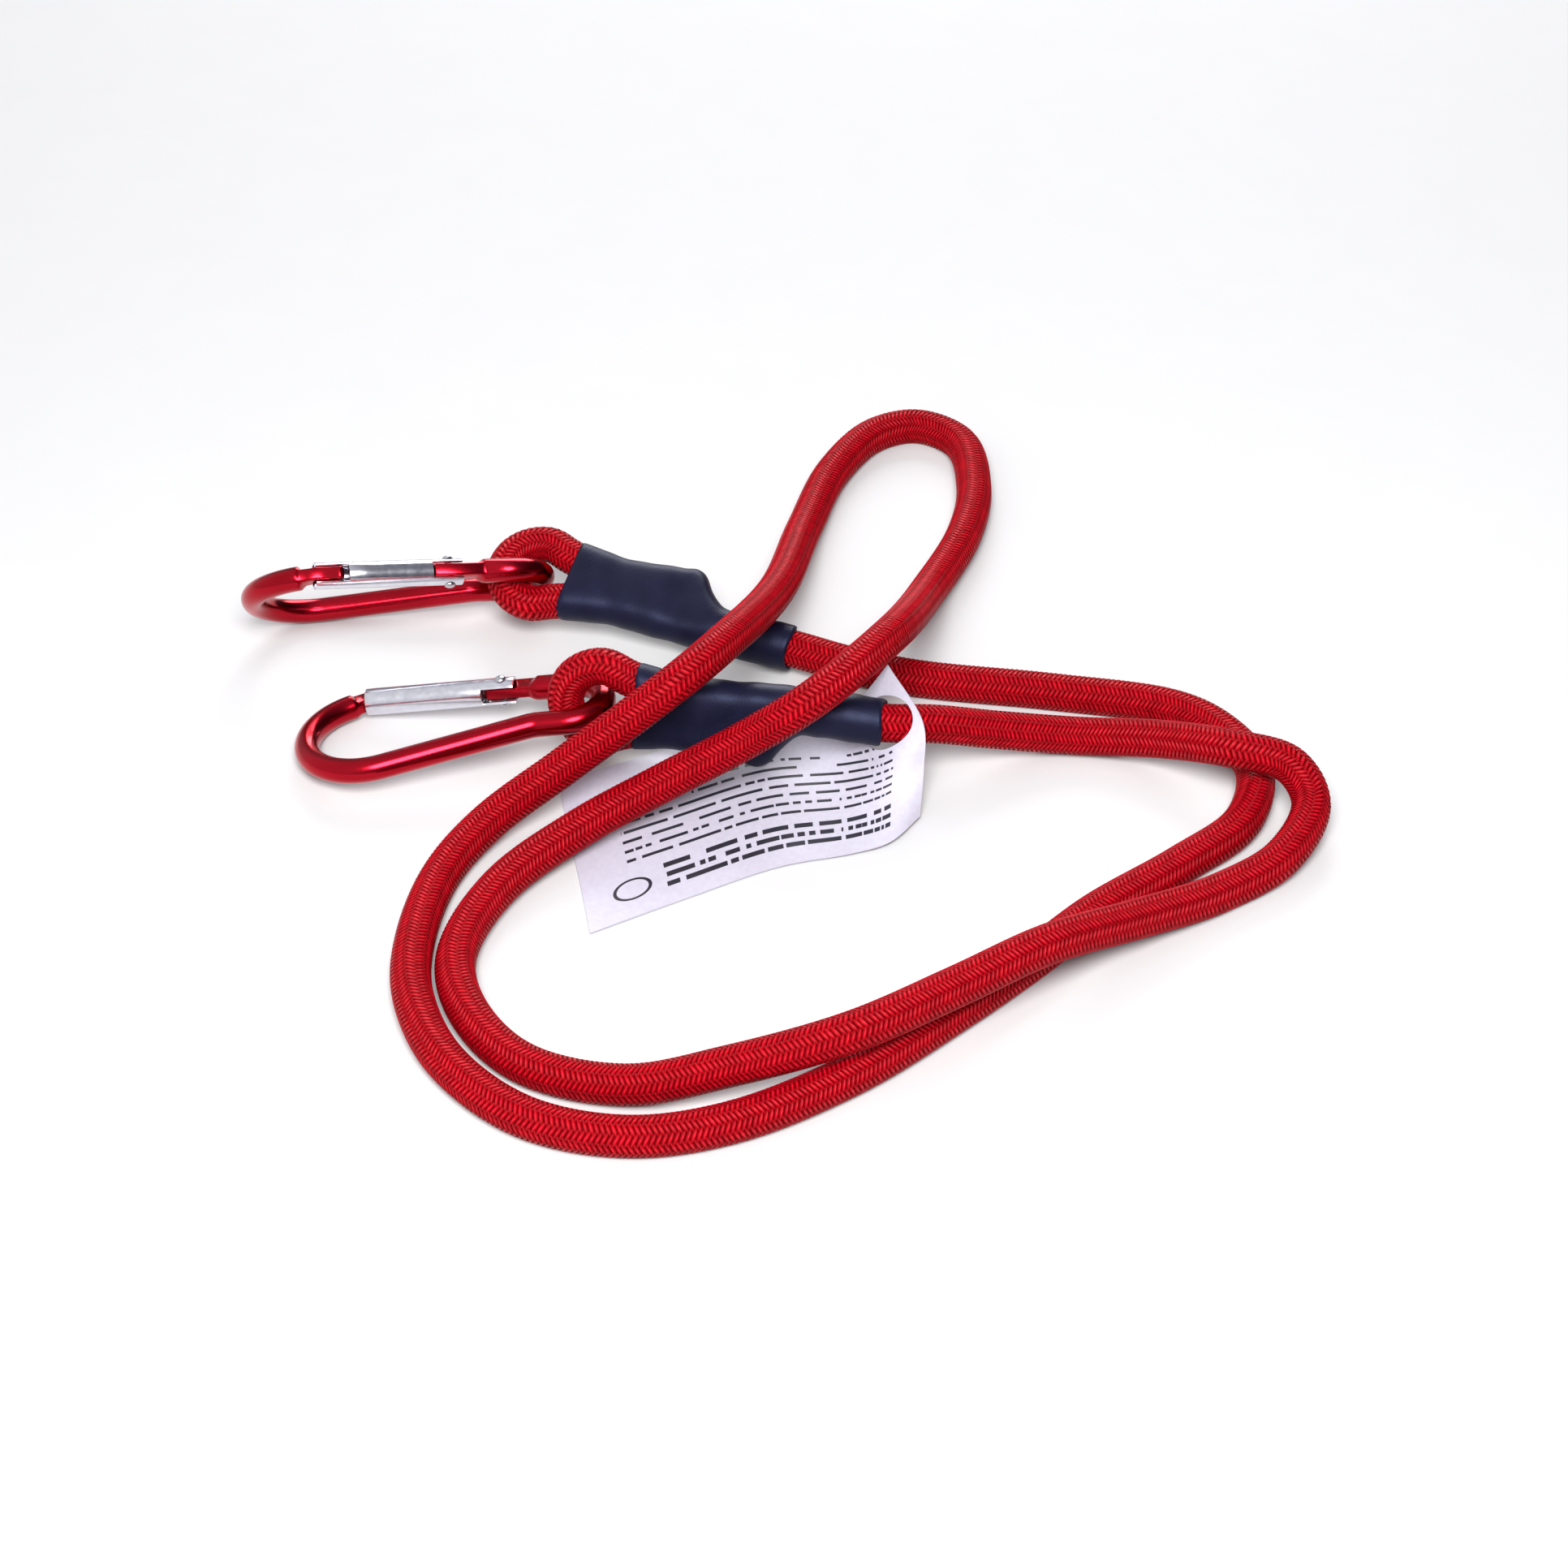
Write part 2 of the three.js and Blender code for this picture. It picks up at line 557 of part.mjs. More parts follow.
// Tag: a thin sheet through the rows of points, with a hole for the cord.
function makeTag() {
  const columns = tagRows[0].map((unused, i) => new THREE.CatmullRomCurve3(
    tagRows.map((row) => new THREE.Vector3(...row[i])),
  ).getPoints((tagRows.length - 1) * tagSteps));
  const lines = columns[0].map((unused, j) => new THREE.CatmullRomCurve3(
    columns.map((column) => column[j]),
  ).getPoints((columns.length - 1) * tagSteps));
  const deep = lines.length;
  const wide = lines[0].length;
  const middle = lines.flat();
  const normals = middle.map((unused, i) => {
    const row = Math.floor(i / wide);
    const col = i % wide;
    const across = lines[row][Math.min(col + 1, wide - 1)].clone().sub(lines[row][Math.max(col - 1, 0)]);
    const along = lines[Math.min(row + 1, deep - 1)][col].clone().sub(lines[Math.max(row - 1, 0)][col]);
    return across.cross(along).normalize();
  });
  const half = tagThickness / 2;
  const top = middle.map((point, i) => point.clone().addScaledVector(normals[i], half));
  const bottom = middle.map((point, i) => point.clone().addScaledVector(normals[i], -half));
  const index = [];
  const quad = (a, b, c, d) => index.push(a, b, c, a, c, d);
  const under = middle.length;
  for (let row = 0; row < deep - 1; row += 1) {
    for (let col = 0; col < wide - 1; col += 1) {
      const a = row * wide + col;
      quad(a, a + 1, a + wide + 1, a + wide);
      quad(under + a, under + a + wide, under + a + wide + 1, under + a + 1);
    }
  }
  for (let col = 0; col < wide - 1; col += 1) {
    const back = (deep - 1) * wide + col;
    quad(under + col, under + col + 1, col + 1, col);
    quad(back, back + 1, under + back + 1, under + back);
  }
  for (let row = 0; row < deep - 1; row += 1) {
    const left = row * wide;
    const right = left + wide - 1;
    quad(left, left + wide, under + left + wide, under + left);
    quad(under + right, under + right + wide, right + wide, right);
  }
  const geometry = new THREE.BufferGeometry();
  geometry.setAttribute('position', new THREE.Float32BufferAttribute(
    [...top, ...bottom].flatMap((point) => point.toArray()), 3,
  ));
  geometry.setIndex(index);
  return geometry;
}

// The hole clears the sleeve's end and the cord beyond it.
const holeRadius = cordRadius + sleeveFit + sleeveWall + tagHoleFit;
const holeRun = cordCurve.points.slice(eyeA.length + free.length - 2, eyeA.length + free.length + 2);
const holeCurve = new RingCurve(holeRun, holeRun.slice(1).map(() => 2));
const tag = solid(makeTag()).subtract(solid(sweep(polygon(holeRadius, roundSides), holeCurve)));
addPiece(part, 'tag', geometryOf(tag), colours.tag, 0.6, 0);

export default part;
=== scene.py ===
# %% [markdown]
# An elastic cord with a carabiner on each end, laid down in two loose turns.
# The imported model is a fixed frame: it says where every piece is. This file makes the looks around it.
# All lengths are in metres, and the frame's own axes are used, so nothing has to be fitted afterwards.

# %% Load the frame
import json
import math
import bmesh
import bpy
import numpy as np
from mathutils import Matrix, Vector


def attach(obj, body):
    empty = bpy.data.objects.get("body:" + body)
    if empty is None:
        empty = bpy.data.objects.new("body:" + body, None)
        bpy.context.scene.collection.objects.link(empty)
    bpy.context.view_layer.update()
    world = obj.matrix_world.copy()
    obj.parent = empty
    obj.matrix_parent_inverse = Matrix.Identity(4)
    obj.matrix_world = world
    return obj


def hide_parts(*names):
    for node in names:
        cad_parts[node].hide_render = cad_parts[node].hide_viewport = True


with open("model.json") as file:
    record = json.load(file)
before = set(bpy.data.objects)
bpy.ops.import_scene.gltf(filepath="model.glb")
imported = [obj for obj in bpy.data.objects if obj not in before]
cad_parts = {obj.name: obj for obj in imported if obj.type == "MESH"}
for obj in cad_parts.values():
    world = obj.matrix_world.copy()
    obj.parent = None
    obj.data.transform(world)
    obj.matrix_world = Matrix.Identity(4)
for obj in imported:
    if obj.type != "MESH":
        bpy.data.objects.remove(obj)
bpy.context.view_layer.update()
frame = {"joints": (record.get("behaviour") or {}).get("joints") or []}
joints = {joint["name"]: joint for joint in frame["joints"]}

# %% [markdown]
# The camera comes first. The photograph was taken with a long lens from about forty degrees above the
# table. A camera that looks at the same spot, from the same height and distance, gives the same
# perspective, so lengths and crossings can be compared with the photograph directly.

# %% Camera
image_side_px = 1932
focal_length_px = 4620
look_at = Vector((0.004, -0.011, 0.0))
camera_distance = 0.772
camera_elevation = math.radians(38)

camera_data = bpy.data.cameras.new("camera")
camera_data.sensor_width = 36.0
camera_data.lens = camera_data.sensor_width * focal_length_px / image_side_px
camera_data.clip_start = 0.01
camera = bpy.data.objects.new("camera", camera_data)
bpy.context.scene.collection.objects.link(camera)
camera.location = look_at + camera_distance * Vector(
    (0, -math.cos(camera_elevation), math.sin(camera_elevation))
)
camera.rotation_euler = (math.pi / 2 - camera_elevation, 0, 0)
bpy.context.scene.camera = camera
print("lens", round(camera_data.lens, 1), "mm")

# %% [markdown]
# The cord is one unbroken length. Its line is a smooth curve through listed points:
# a tail, an eye, the long free route, and the other eye and tail. An eye is a half circle with two
# straight legs, so it is worked out from a few sizes and then turned into place.

# %% Sizes of the cord and its ends
cord_diameter = 0.008
cord_radius = cord_diameter / 2
lying_height = cord_radius - cord_diameter / 10
eye_radius = 0.0078
eye_setback = 0.007
leg_gap = 0.0006
leg_offset = cord_radius + leg_gap / 2
neck_run = 0.003
tail_length = 0.026
sleeve_length = 0.051

ends = {
    "a": {"exit": (0.0056, 0.0286, 0.0058), "yaw": -16.1, "pitch": -3.9, "roll": 20.8},
    "b": {"exit": (0.0242, -0.0082, 0.0137), "yaw": -9.5, "pitch": -3.2, "roll": -102.6},
}


def end_matrix(end):
    """Places an end: X runs from the sleeve's mouth to the cord's exit, Y to the folded-back leg."""
    turn = (
        Matrix.Rotation(math.radians(end["yaw"]), 4, "Z")
        @ Matrix.Rotation(-math.radians(end["pitch"]), 4, "Y")
        @ Matrix.Rotation(math.radians(end["roll"]), 4, "X")
    )
    mouth = Vector(end["exit"]) - turn @ Vector((sleeve_length, -leg_offset, 0))
    return Matrix.Translation(mouth) @ turn


for end in ends.values():
    end["matrix"] = end_matrix(end)
print("ends:", ", ".join(ends))

# %% [markdown]
# Route of the free cord, as x, y and the lift above lying flat on the table. Where one strand crosses
# another it is lifted over it in a long low hump, because a cord can't pass through itself.

# %% Route
route = [
    (0.0167, 0.0248, 0.0015), (0.032, 0.021, 0.0003), (0.061, 0.0165, 0), (0.0857, 0.0108, 0),
    (0.0946, 0.0035, 0), (0.1006, -0.0098, 0), (0.0965, -0.0275, 0), (0.0825, -0.0415, 0),
    (0.065, -0.056, 0), (0.051, -0.071, 0), (0.037, -0.0848, 0), (0.0164, -0.103, 0),
    (-0.0058, -0.1159, 0), (-0.0245, -0.1196, 0), (-0.0435, -0.1145, 0), (-0.0589, -0.0997, 0),
    (-0.0667, -0.081, 0), (-0.0677, -0.0651, 0), (-0.0638, -0.0438, 0), (-0.0552, -0.0294, 0.0018),
    (-0.0408, -0.0193, 0.0076), (-0.026, -0.0138, 0.017), (-0.0169, -0.0093, 0.0224),
    (-0.0092, 0.0008, 0.0232), (0.0022, 0.0375, 0.0112), (0.0086, 0.076, 0.0015),
    (0.0155, 0.1015, 0), (0.025, 0.1165, 0), (0.035, 0.1202, 0), (0.0445, 0.1133, 0),
    (0.0472, 0.0939, 0), (0.0442, 0.0746, 0.0006), (0.0358, 0.0509, 0.0025), (0.0241, 0.0038, 0.022),
    (0.0095, -0.0135, 0.0202), (-0.0036, -0.0163, 0.0124), (-0.0212, -0.0233, 0.0062),
    (-0.0365, -0.0329, 0.003), (-0.0519, -0.0485, 0.0008), (-0.0593, -0.0692, 0),
    (-0.0554, -0.0863, 0), (-0.044, -0.1003, 0), (-0.025, -0.1066, 0.0008), (-0.0064, -0.1054, 0.0043),
    (0.0163, -0.101, 0.0088), (0.0362, -0.0881, 0.0087), (0.0541, -0.0755, 0.0084),
    (0.0726, -0.0616, 0.0031), (0.0898, -0.05, 0), (0.1033, -0.0395, 0.0006),
    (0.1104, -0.0254, 0.0034), (0.1065, -0.0186, 0.0076), (0.0958, -0.0149, 0.0088),
    (0.0815, -0.005, 0.0039), (0.0653, 0, 0.0009), (0.0485, -0.0021, 0.004),
    (0.0347, -0.0066, 0.009),
]


def eye_points(matrix):
    """Points of an eye and its legs, from the tail to where the cord leaves the sleeve."""
    centre = -eye_setback
    spread = (neck_run + centre) / 2, (leg_offset + eye_radius) / 2
    neck = leg_offset + leg_gap / 2
    flat = [(tail_length, leg_offset), (tail_length / 2, leg_offset), (2 * neck_run, leg_offset)]
    flat += [(neck_run, neck), spread]
    arc_steps = 6
    for i in range(arc_steps + 1):
        angle = math.pi / 2 + math.pi * i / arc_steps
        flat.append((centre + eye_radius * math.cos(angle), eye_radius * math.sin(angle)))
    flat += [(spread[0], -spread[1]), (neck_run, -neck), (2 * neck_run, -leg_offset)]
    flat += [(sleeve_length / 3, -leg_offset), (2 * sleeve_length / 3, -leg_offset)]
    flat.append((sleeve_length, -leg_offset))
    return [matrix @ Vector((x, y, 0)) for x, y in flat]


def smooth_curve(points, steps):
    """A centripetal curve through the points, with the given number of steps from each to the next."""
    p = np.array([tuple(point) for point in points], float)
    p = np.vstack([2 * p[0] - p[1], p, 2 * p[-1] - p[-2]])
    knots = np.sqrt(np.linalg.norm(np.diff(p, axis=0), axis=1))[:, None]
    line = []
    for i in range(1, len(p) - 2):
        before, here, after = knots[i - 1], knots[i], knots[i + 1]
        leave = (p[i] - p[i - 1]) / before - (p[i + 1] - p[i - 1]) / (before + here)
        leave = here * (leave + (p[i + 1] - p[i]) / here)
        arrive = (p[i + 1] - p[i]) / here - (p[i + 2] - p[i]) / (here + after)
        arrive = here * (arrive + (p[i + 2] - p[i + 1]) / after)
        for t in np.arange(steps) / steps:
            rise = 3 * t**2 - 2 * t**3
            line.append(
                p[i] * (1 - rise) + p[i + 1] * rise
                + leave * (t**3 - 2 * t**2 + t) + arrive * (t**3 - t**2)
            )
    line.append(p[-2])
    return np.array(line)


curve_steps = 8
free_points = [Vector((x, y, lying_height + lift)) for x, y, lift in route]
eye_a = eye_points(ends["a"]["matrix"])
eye_b = eye_points(ends["b"]["matrix"])[::-1]
cord_line = smooth_curve(eye_a + free_points + eye_b, curve_steps)

# %% [markdown]
# A few small helpers. One turns points and faces into an object, one sews rings of points into a skin,
# and one carries rings along a line without letting them twist.

# %% Mesh helpers
def mesh_piece(name, points, faces, finish, smooth=True):
    """A mesh object whose place is in its points."""
    mesh = bpy.data.meshes.new(name)
    mesh.from_pydata([tuple(p) for p in points], [], [tuple(f) for f in faces])
    mesh.polygons.foreach_set("use_smooth", [smooth] * len(mesh.polygons))
    mesh.materials.append(finish)
    mesh.validate()
    mesh.update()
    piece = bpy.data.objects.new(name, mesh)
    bpy.context.scene.collection.objects.link(piece)
    return piece


def skin(rings, closed_loop=False):
    """Points and faces of a skin over rings that all have as many points. Open ends get caps."""
    count, sides = len(rings), len(rings[0])
    points = np.vstack(rings)
    faces = []
    for i in range(count if closed_loop else count - 1):
        below, above = i * sides, ((i + 1) % count) * sides
        for j in range(sides):
            k = (j + 1) % sides
            faces.append((below + j, below + k, above + k, above + j))
    if not closed_loop:
        faces.append(tuple(range(sides))[::-1])
        faces.append(tuple((count - 1) * sides + j for j in range(sides)))
    return points, faces


def turned_out(piece):
    """Merges doubles and makes every face of a closed mesh point outwards."""
    work = bmesh.new()
    work.from_mesh(piece.data)
    bmesh.ops.remove_doubles(work, verts=work.verts, dist=1e-7)
    bmesh.ops.recalc_face_normals(work, faces=work.faces)
    work.to_mesh(piece.data)
    work.free()
    return piece


def carried_frames(line):
    """Two cross directions at each point of a line, carried along without twist."""
    tangents = np.gradient(line, axis=0)
    tangents /= np.linalg.norm(tangents, axis=1)[:, None]
    across = [np.cross(tangents[0], (0.3, 0.2, 1.0))]
    for tangent in tangents:
        side = across[-1] - tangent * np.dot(across[-1], tangent)
        across.append(side / np.linalg.norm(side))
    across = np.array(across[1:])
    return across, np.cross(tangents, across)


def ring_angles(count):
    """Angles of evenly spaced points round a ring."""
    return np.arange(count) * 2 * math.pi / count


def tube_rings(line, radii, sides):
    """Round rings along a line."""
    across, upward = carried_frames(line)
    angles = ring_angles(sides)
    rings = []
    for point, u, v, radius in zip(line, across, upward, radii):
        rings.append(point + radius * (np.cos(angles)[:, None] * u + np.sin(angles)[:, None] * v))
    return rings


def above_table(piece, lift=0.00005):
    """Presses flat what would reach below the table."""
    for vertex in piece.data.vertices:
        vertex.co.z = max(vertex.co.z, lift)
    return piece

# %% [markdown]
# Finishes are made of nodes, so that each surface has grain at its real scale. These helpers add the
# nodes that nearly every finish needs: a noise, a ramp between colours, and a bump.

# %% Finish helpers
def new_finish(name):
    """An empty finish with its shader."""
    material = bpy.data.materials.new(name)
    material.use_nodes = True
    return material, material.node_tree, material.node_tree.nodes["Principled BSDF"]


def add(tree, kind, **settings):
    """A node with its settings. Inputs are given by name, with _ for a space."""
    node = tree.nodes.new(kind)
    for key, value in settings.items():
        socket = node.inputs.get(key.replace("_", " "))
        if socket is not None:
            socket.default_value = value
        else:
            setattr(node, key, value)
    return node


def calc(tree, operation, *values):
    """A Math node's result. Each value is a number or another node's result."""
    node = add(tree, "ShaderNodeMath", operation=operation)
    for socket, value in zip(node.inputs, values):
        if isinstance(value, (int, float)):
            socket.default_value = value
        else:
            tree.links.new(value, socket)
    return node.outputs[0]


def noise(tree, place, scale, detail=3.0):
    node = add(tree, "ShaderNodeTexNoise", Scale=scale, Detail=detail)
    tree.links.new(place, node.inputs["Vector"])
    return node.outputs["Fac"]


def ramp(tree, value, *stops):
    """A blend between colours: each stop is a place from 0 to 1 and a colour."""
    node = tree.nodes.new("ShaderNodeValToRGB")
    marks = node.color_ramp.elements
    while len(marks) < len(stops):
        marks.new(0.5)
    for mark, (place, colour) in zip(marks, stops):
        mark.position = place
        mark.color = (*colour, 1.0)
    tree.links.new(value, node.inputs["Fac"])
    return node.outputs["Color"]


def grey(level):
    return (level, level, level)


def bump(tree, height, distance, strength):
    node = add(tree, "ShaderNodeBump", Strength=strength, Distance=distance)
    tree.links.new(height, node.inputs["Height"])
    return node.outputs["Normal"]


def coordinates(tree, source="Object"):
    """Places on a surface: in metres, or with the source UV on its flat chart."""
    return tree.nodes.new("ShaderNodeTexCoord").outputs[source]

# %% [markdown]
# The yarn of the cover is bright red and a little shiny. Each short stitch has a painted highlight on its
# crown and painted shade where it dives under its neighbours. The crown and a random tint come as attributes
# of the mesh, so the painted light and shade follow the stitches however the cord bends.

# %% Yarn finish
# yarn_red is the yarn's own colour. The dark red is painted shade for the valleys between stitches, and the
# bright red is a painted highlight on their crowns.
yarn_red = (0.39, 0.0008, 0.006)
yarn_painted_highlight = (0.82, 0.009, 0.030)
yarn_painted_shade = (0.09, 0.0002, 0.001)


def yarn_finish():
    material, tree, shader = new_finish("red_yarn")
    crown = add(tree, "ShaderNodeAttribute", attribute_name="crown")
    tint = add(tree, "ShaderNodeAttribute", attribute_name="tint")
    # Painted shade in the valleys and a painted highlight on the crowns, set by the crown attribute.
    body = ramp(tree, crown.outputs["Fac"], (0.20, yarn_painted_shade), (0.70, yarn_red), (1.0, yarn_painted_highlight))
    shade = ramp(tree, tint.outputs["Fac"], (0.0, grey(0.72)), (1.0, grey(1.0)))
    mix = add(tree, "ShaderNodeMix", data_type="RGBA", blend_type="MULTIPLY")
    mix.inputs["Factor"].default_value = 1.0
    tree.links.new(body, mix.inputs["A"])
    tree.links.new(shade, mix.inputs["B"])
    tree.links.new(mix.outputs["Result"], shader.inputs["Base Color"])
    strands = add(tree, "ShaderNodeTexWave", Scale=3.0, Distortion=1.0, bands_direction="X")
    tree.links.new(coordinates(tree, source="UV"), strands.inputs["Vector"])
    tree.links.new(bump(tree, strands.outputs["Fac"], 0.00006, 0.6), shader.inputs["Normal"])
    rough = ramp(tree, crown.outputs["Fac"], (0.0, grey(0.65)), (1.0, grey(0.30)))
    tree.links.new(rough, shader.inputs["Roughness"])
    gloss = ramp(tree, crown.outputs["Fac"], (0.4, grey(0.01)), (1.0, grey(0.20)))
    tree.links.new(gloss, shader.inputs["Specular IOR Level"])
    return material


red_yarn = yarn_finish()
print("finish:", red_yarn.name)

# %% [markdown]
# Under the stitches lies the ground of the braid: a hose round the rubber. It shows only in the narrow
# gaps between stitches, so it is a plain swept tube, coloured much darker than the yarn as painted shade in
# the gaps.
# Inside the black sleeves the binding squeezes both legs, so the hose narrows there.

# %% Ground of the braid
ground_radius = 0.00365
ground_bore = 0.00280
squeezed_radius = 0.0030
ground_sides = 20
cover_wall = 0.0006
squeeze_run = 0.006
sleeve_half_width = 0.012
sleeve_half_height = 0.008


def ground_painted_shade_finish():
    material, tree, shader = new_finish("braid_ground")
    grain = noise(tree, coordinates(tree), 900.0, 4.0)
    # These dark reds are painted shade for the gaps between the stitches; the noise only varies their tone.
    tree.links.new(
        ramp(tree, grain, (0.3, (0.07, 0.0005, 0.0015)), (0.8, (0.13, 0.001, 0.003))),
        shader.inputs["Base Color"],
    )
    tree.links.new(bump(tree, grain, 0.0001, 0.7), shader.inputs["Normal"])
    shader.inputs["Roughness"].default_value = 0.7
    shader.inputs["Specular IOR Level"].default_value = 0.1
    return material


def hidden_share(point):
    """From 0 where the cord is in the open to 1 well inside a sleeve."""
    for end in ends.values():
        place = end["matrix"].inverted() @ Vector(point)
        beside = abs(place.y) < sleeve_half_width and abs(place.z) < sleeve_half_height
        if beside and 0.0 < place.x < sleeve_length:
            return min(1.0, min(place.x, sleeve_length - place.x) / squeeze_run)
    return 0.0


hidden = np.array([hidden_share(point) for point in cord_line])
outer_radii = ground_radius + (squeezed_radius - ground_radius) * hidden
bore_radii = ground_bore + (squeezed_radius - cover_wall - ground_bore) * hidden
outer_rings = tube_rings(cord_line, outer_radii, ground_sides)
bore_rings = tube_rings(cord_line, bore_radii, ground_sides)
points, faces = skin(outer_rings + bore_rings[::-1], closed_loop=True)
braided_cover = above_table(mesh_piece("braided_cover", points, faces, ground_painted_shade_finish()))
print("ground of the braid:", len(faces), "faces")

# %% [markdown]
# The core is a bundle of rubber strands. It can't be seen, but it is what makes the cord stretch. One
# swept profile with a scalloped edge gives the bundle its strands.

# %% Rubber core
core_radius = 0.0023
core_strands = 9
core_lift = 0.0006
strand_groove = 0.10


def rubber_finish():
    material, tree, shader = new_finish("rubber")
    grain = noise(tree, coordinates(tree), 600.0)
    tree.links.new(
        ramp(tree, grain, (0.2, (0.60, 0.52, 0.36)), (0.9, (0.78, 0.70, 0.52))),
        shader.inputs["Base Color"],
    )
    tree.links.new(bump(tree, grain, 0.0001, 0.4), shader.inputs["Normal"])
    shader.inputs["Roughness"].default_value = 0.6
    return material


core_sides = core_strands * 4
lobes = 1 - strand_groove * np.cos(np.arange(core_sides) * 2 * math.pi * core_strands / core_sides)
core_line = cord_line[::2]
core_rings = []
for ring, centre in zip(tube_rings(core_line, [core_radius] * len(core_line), core_sides), core_line):
    core_rings.append(centre + (ring - centre) * lobes[:, None])
points, faces = skin(core_rings)
rubber_strands = mesh_piece("rubber_strands", points, faces, rubber_finish())
above_table(rubber_strands, core_lift)
print("rubber core:", core_strands, "strands,", len(faces), "faces")

# %% [markdown]
# The braid itself. The cover is woven round and round, so from outside it looks like columns of short
# slanted stitches, and neighbouring columns slant opposite ways. Thousands of alike pieces along a path
# are a job for Geometry Nodes: a ring of points is swept along the cord's line, and one stitch is set on
# each point, turned to the surface and to the line. The stitch is stretched by the gap to the next ring,
# so the stitches open on the outside of a bend and close up on the inside, as real yarn does.

# %% One stitch
stitch_pitch = 0.00102
stitch_columns = 12
stitch_height = cord_radius - ground_radius
column_width = 2 * math.pi * cord_radius / stitch_columns
stitch_slant = math.radians(27)
stitch_seed = 7
stitch_reach = 0.66
stitch_width = 0.62
crown_fall = 0.3
# Along a stitch: place, lift and width. Across it: place and height. All are shares of its size.
stitch_rows = (
    (-1.0, 0.4, 0.8), (-0.55, 0.9, 1.0), (0.0, 1.0, 1.0), (0.55, 0.9, 1.0), (1.0, 0.4, 0.8),
)
stitch_section = ((-1.0, -0.1), (-0.55, 0.5), (0.0, 1.0), (0.55, 0.5), (1.0, -0.1))


def stitch_mesh():
    """A short bar of yarn: X along the cord, Y round it, Z out. Its ends dive under their neighbours."""
    half = stitch_reach * column_width
    mesh = bpy.data.meshes.new("stitch")
    points, crowns, places = [], [], []
    sides = len(stitch_section)
    for y, lift, wide in stitch_rows:
        for x, share in stitch_section:
            points.append((x * wide * stitch_width, y * half, stitch_height * (lift + share - 1)))
            # The crown value also picks the yarn's colour: low values paint shade in the valleys and where
            # the ends dive under, high values paint a highlight on the top.
            crowns.append(max(share, 0.0) * (1 - crown_fall * abs(y)))
            places.append((x * 0.5 + 0.5, y * 0.5 + 0.5))
    faces = []
    for row in range(len(stitch_rows) - 1):
        for column in range(sides):
            a, b = row * sides + column, row * sides + (column + 1) % sides
            faces.append((a, b, b + sides, a + sides))
    faces += [range(sides)[::-1], range(len(points) - sides, len(points))]
    mesh.from_pydata(points, [], [tuple(face) for face in faces])
    mesh.polygons.foreach_set("use_smooth", [True] * len(faces))
    crown = mesh.attributes.new("crown", "FLOAT", "POINT")
    crown.data.foreach_set("value", crowns)
    chart = mesh.uv_layers.new(name="UVMap")
    for loop in mesh.loops:
        chart.data[loop.index].uv = places[loop.vertex_index]
    stitch = bpy.data.objects.new("stitch", mesh)
    return turned_out(stitch)


stitch = stitch_mesh()
print("one stitch:", len(stitch.data.polygons), "faces")

# %% [markdown]
# A tree of Geometry Nodes takes sizes as named inputs and turns the geometry of its object into a new one.
# The two trees in this file begin and end alike, so their frame is made once here. Set Material comes last,
# because what a tree makes has no finish of its own.

# %% Frame of a tree
def new_tree(name, inputs):
    """An empty tree from geometry to geometry. Each input is a name and the kind of its socket."""
    tree = bpy.data.node_groups.new(name, "GeometryNodeTree")
    tree.interface.new_socket("Geometry", in_out="INPUT", socket_type="NodeSocketGeometry")
    for title, kind in inputs:
        tree.interface.new_socket(title, in_out="INPUT", socket_type="NodeSocket" + kind)
    tree.interface.new_socket("Geometry", in_out="OUTPUT", socket_type="NodeSocketGeometry")
    return tree, tree.nodes.new("NodeGroupInput").outputs


def end_tree(tree, geometry, finish):
    """Gives the geometry its finish and hands it out of the tree."""
    dress = tree.nodes.new("GeometryNodeSetMaterial")
    tree.links.new(geometry, dress.inputs["Geometry"])
    tree.links.new(finish, dress.inputs["Material"])
    tree.links.new(dress.outputs["Geometry"], tree.nodes.new("NodeGroupOutput").inputs["Geometry"])

# %% [markdown]
# First the places of the stitches. The cord's line is cut at every pitch, and a circle with one point for
# each column is swept along it. The points of such a hose come ring by ring, so the index of a point tells
# its ring and its column. Every second column is moved on by half a gap, as the yarns of a braid alternate.

# %% Places of the stitches
def swept_hose(tree, sizes):
    """A hose with a point for each stitch, and the direction of the line at its points."""
    link = tree.links.new
    rings = add(tree, "GeometryNodeResampleCurve", mode="LENGTH")
    link(sizes["Geometry"], rings.inputs["Curve"])
    link(sizes["Pitch"], rings.inputs["Length"])
    along = tree.nodes.new("GeometryNodeCaptureAttribute")
    along.capture_items.new("VECTOR", "tangent")
    link(rings.outputs["Curve"], along.inputs["Geometry"])
    link(tree.nodes.new("GeometryNodeInputTangent").outputs["Tangent"], along.inputs["tangent"])
    circle = tree.nodes.new("GeometryNodeCurvePrimitiveCircle")
    link(sizes["Columns"], circle.inputs["Resolution"])
    link(sizes["Radius"], circle.inputs["Radius"])
    hose = tree.nodes.new("GeometryNodeCurveToMesh")
    link(along.outputs["Geometry"], hose.inputs["Curve"])
    link(circle.outputs["Curve"], hose.inputs["Profile Curve"])
    return hose.outputs["Mesh"], along.outputs["tangent"]


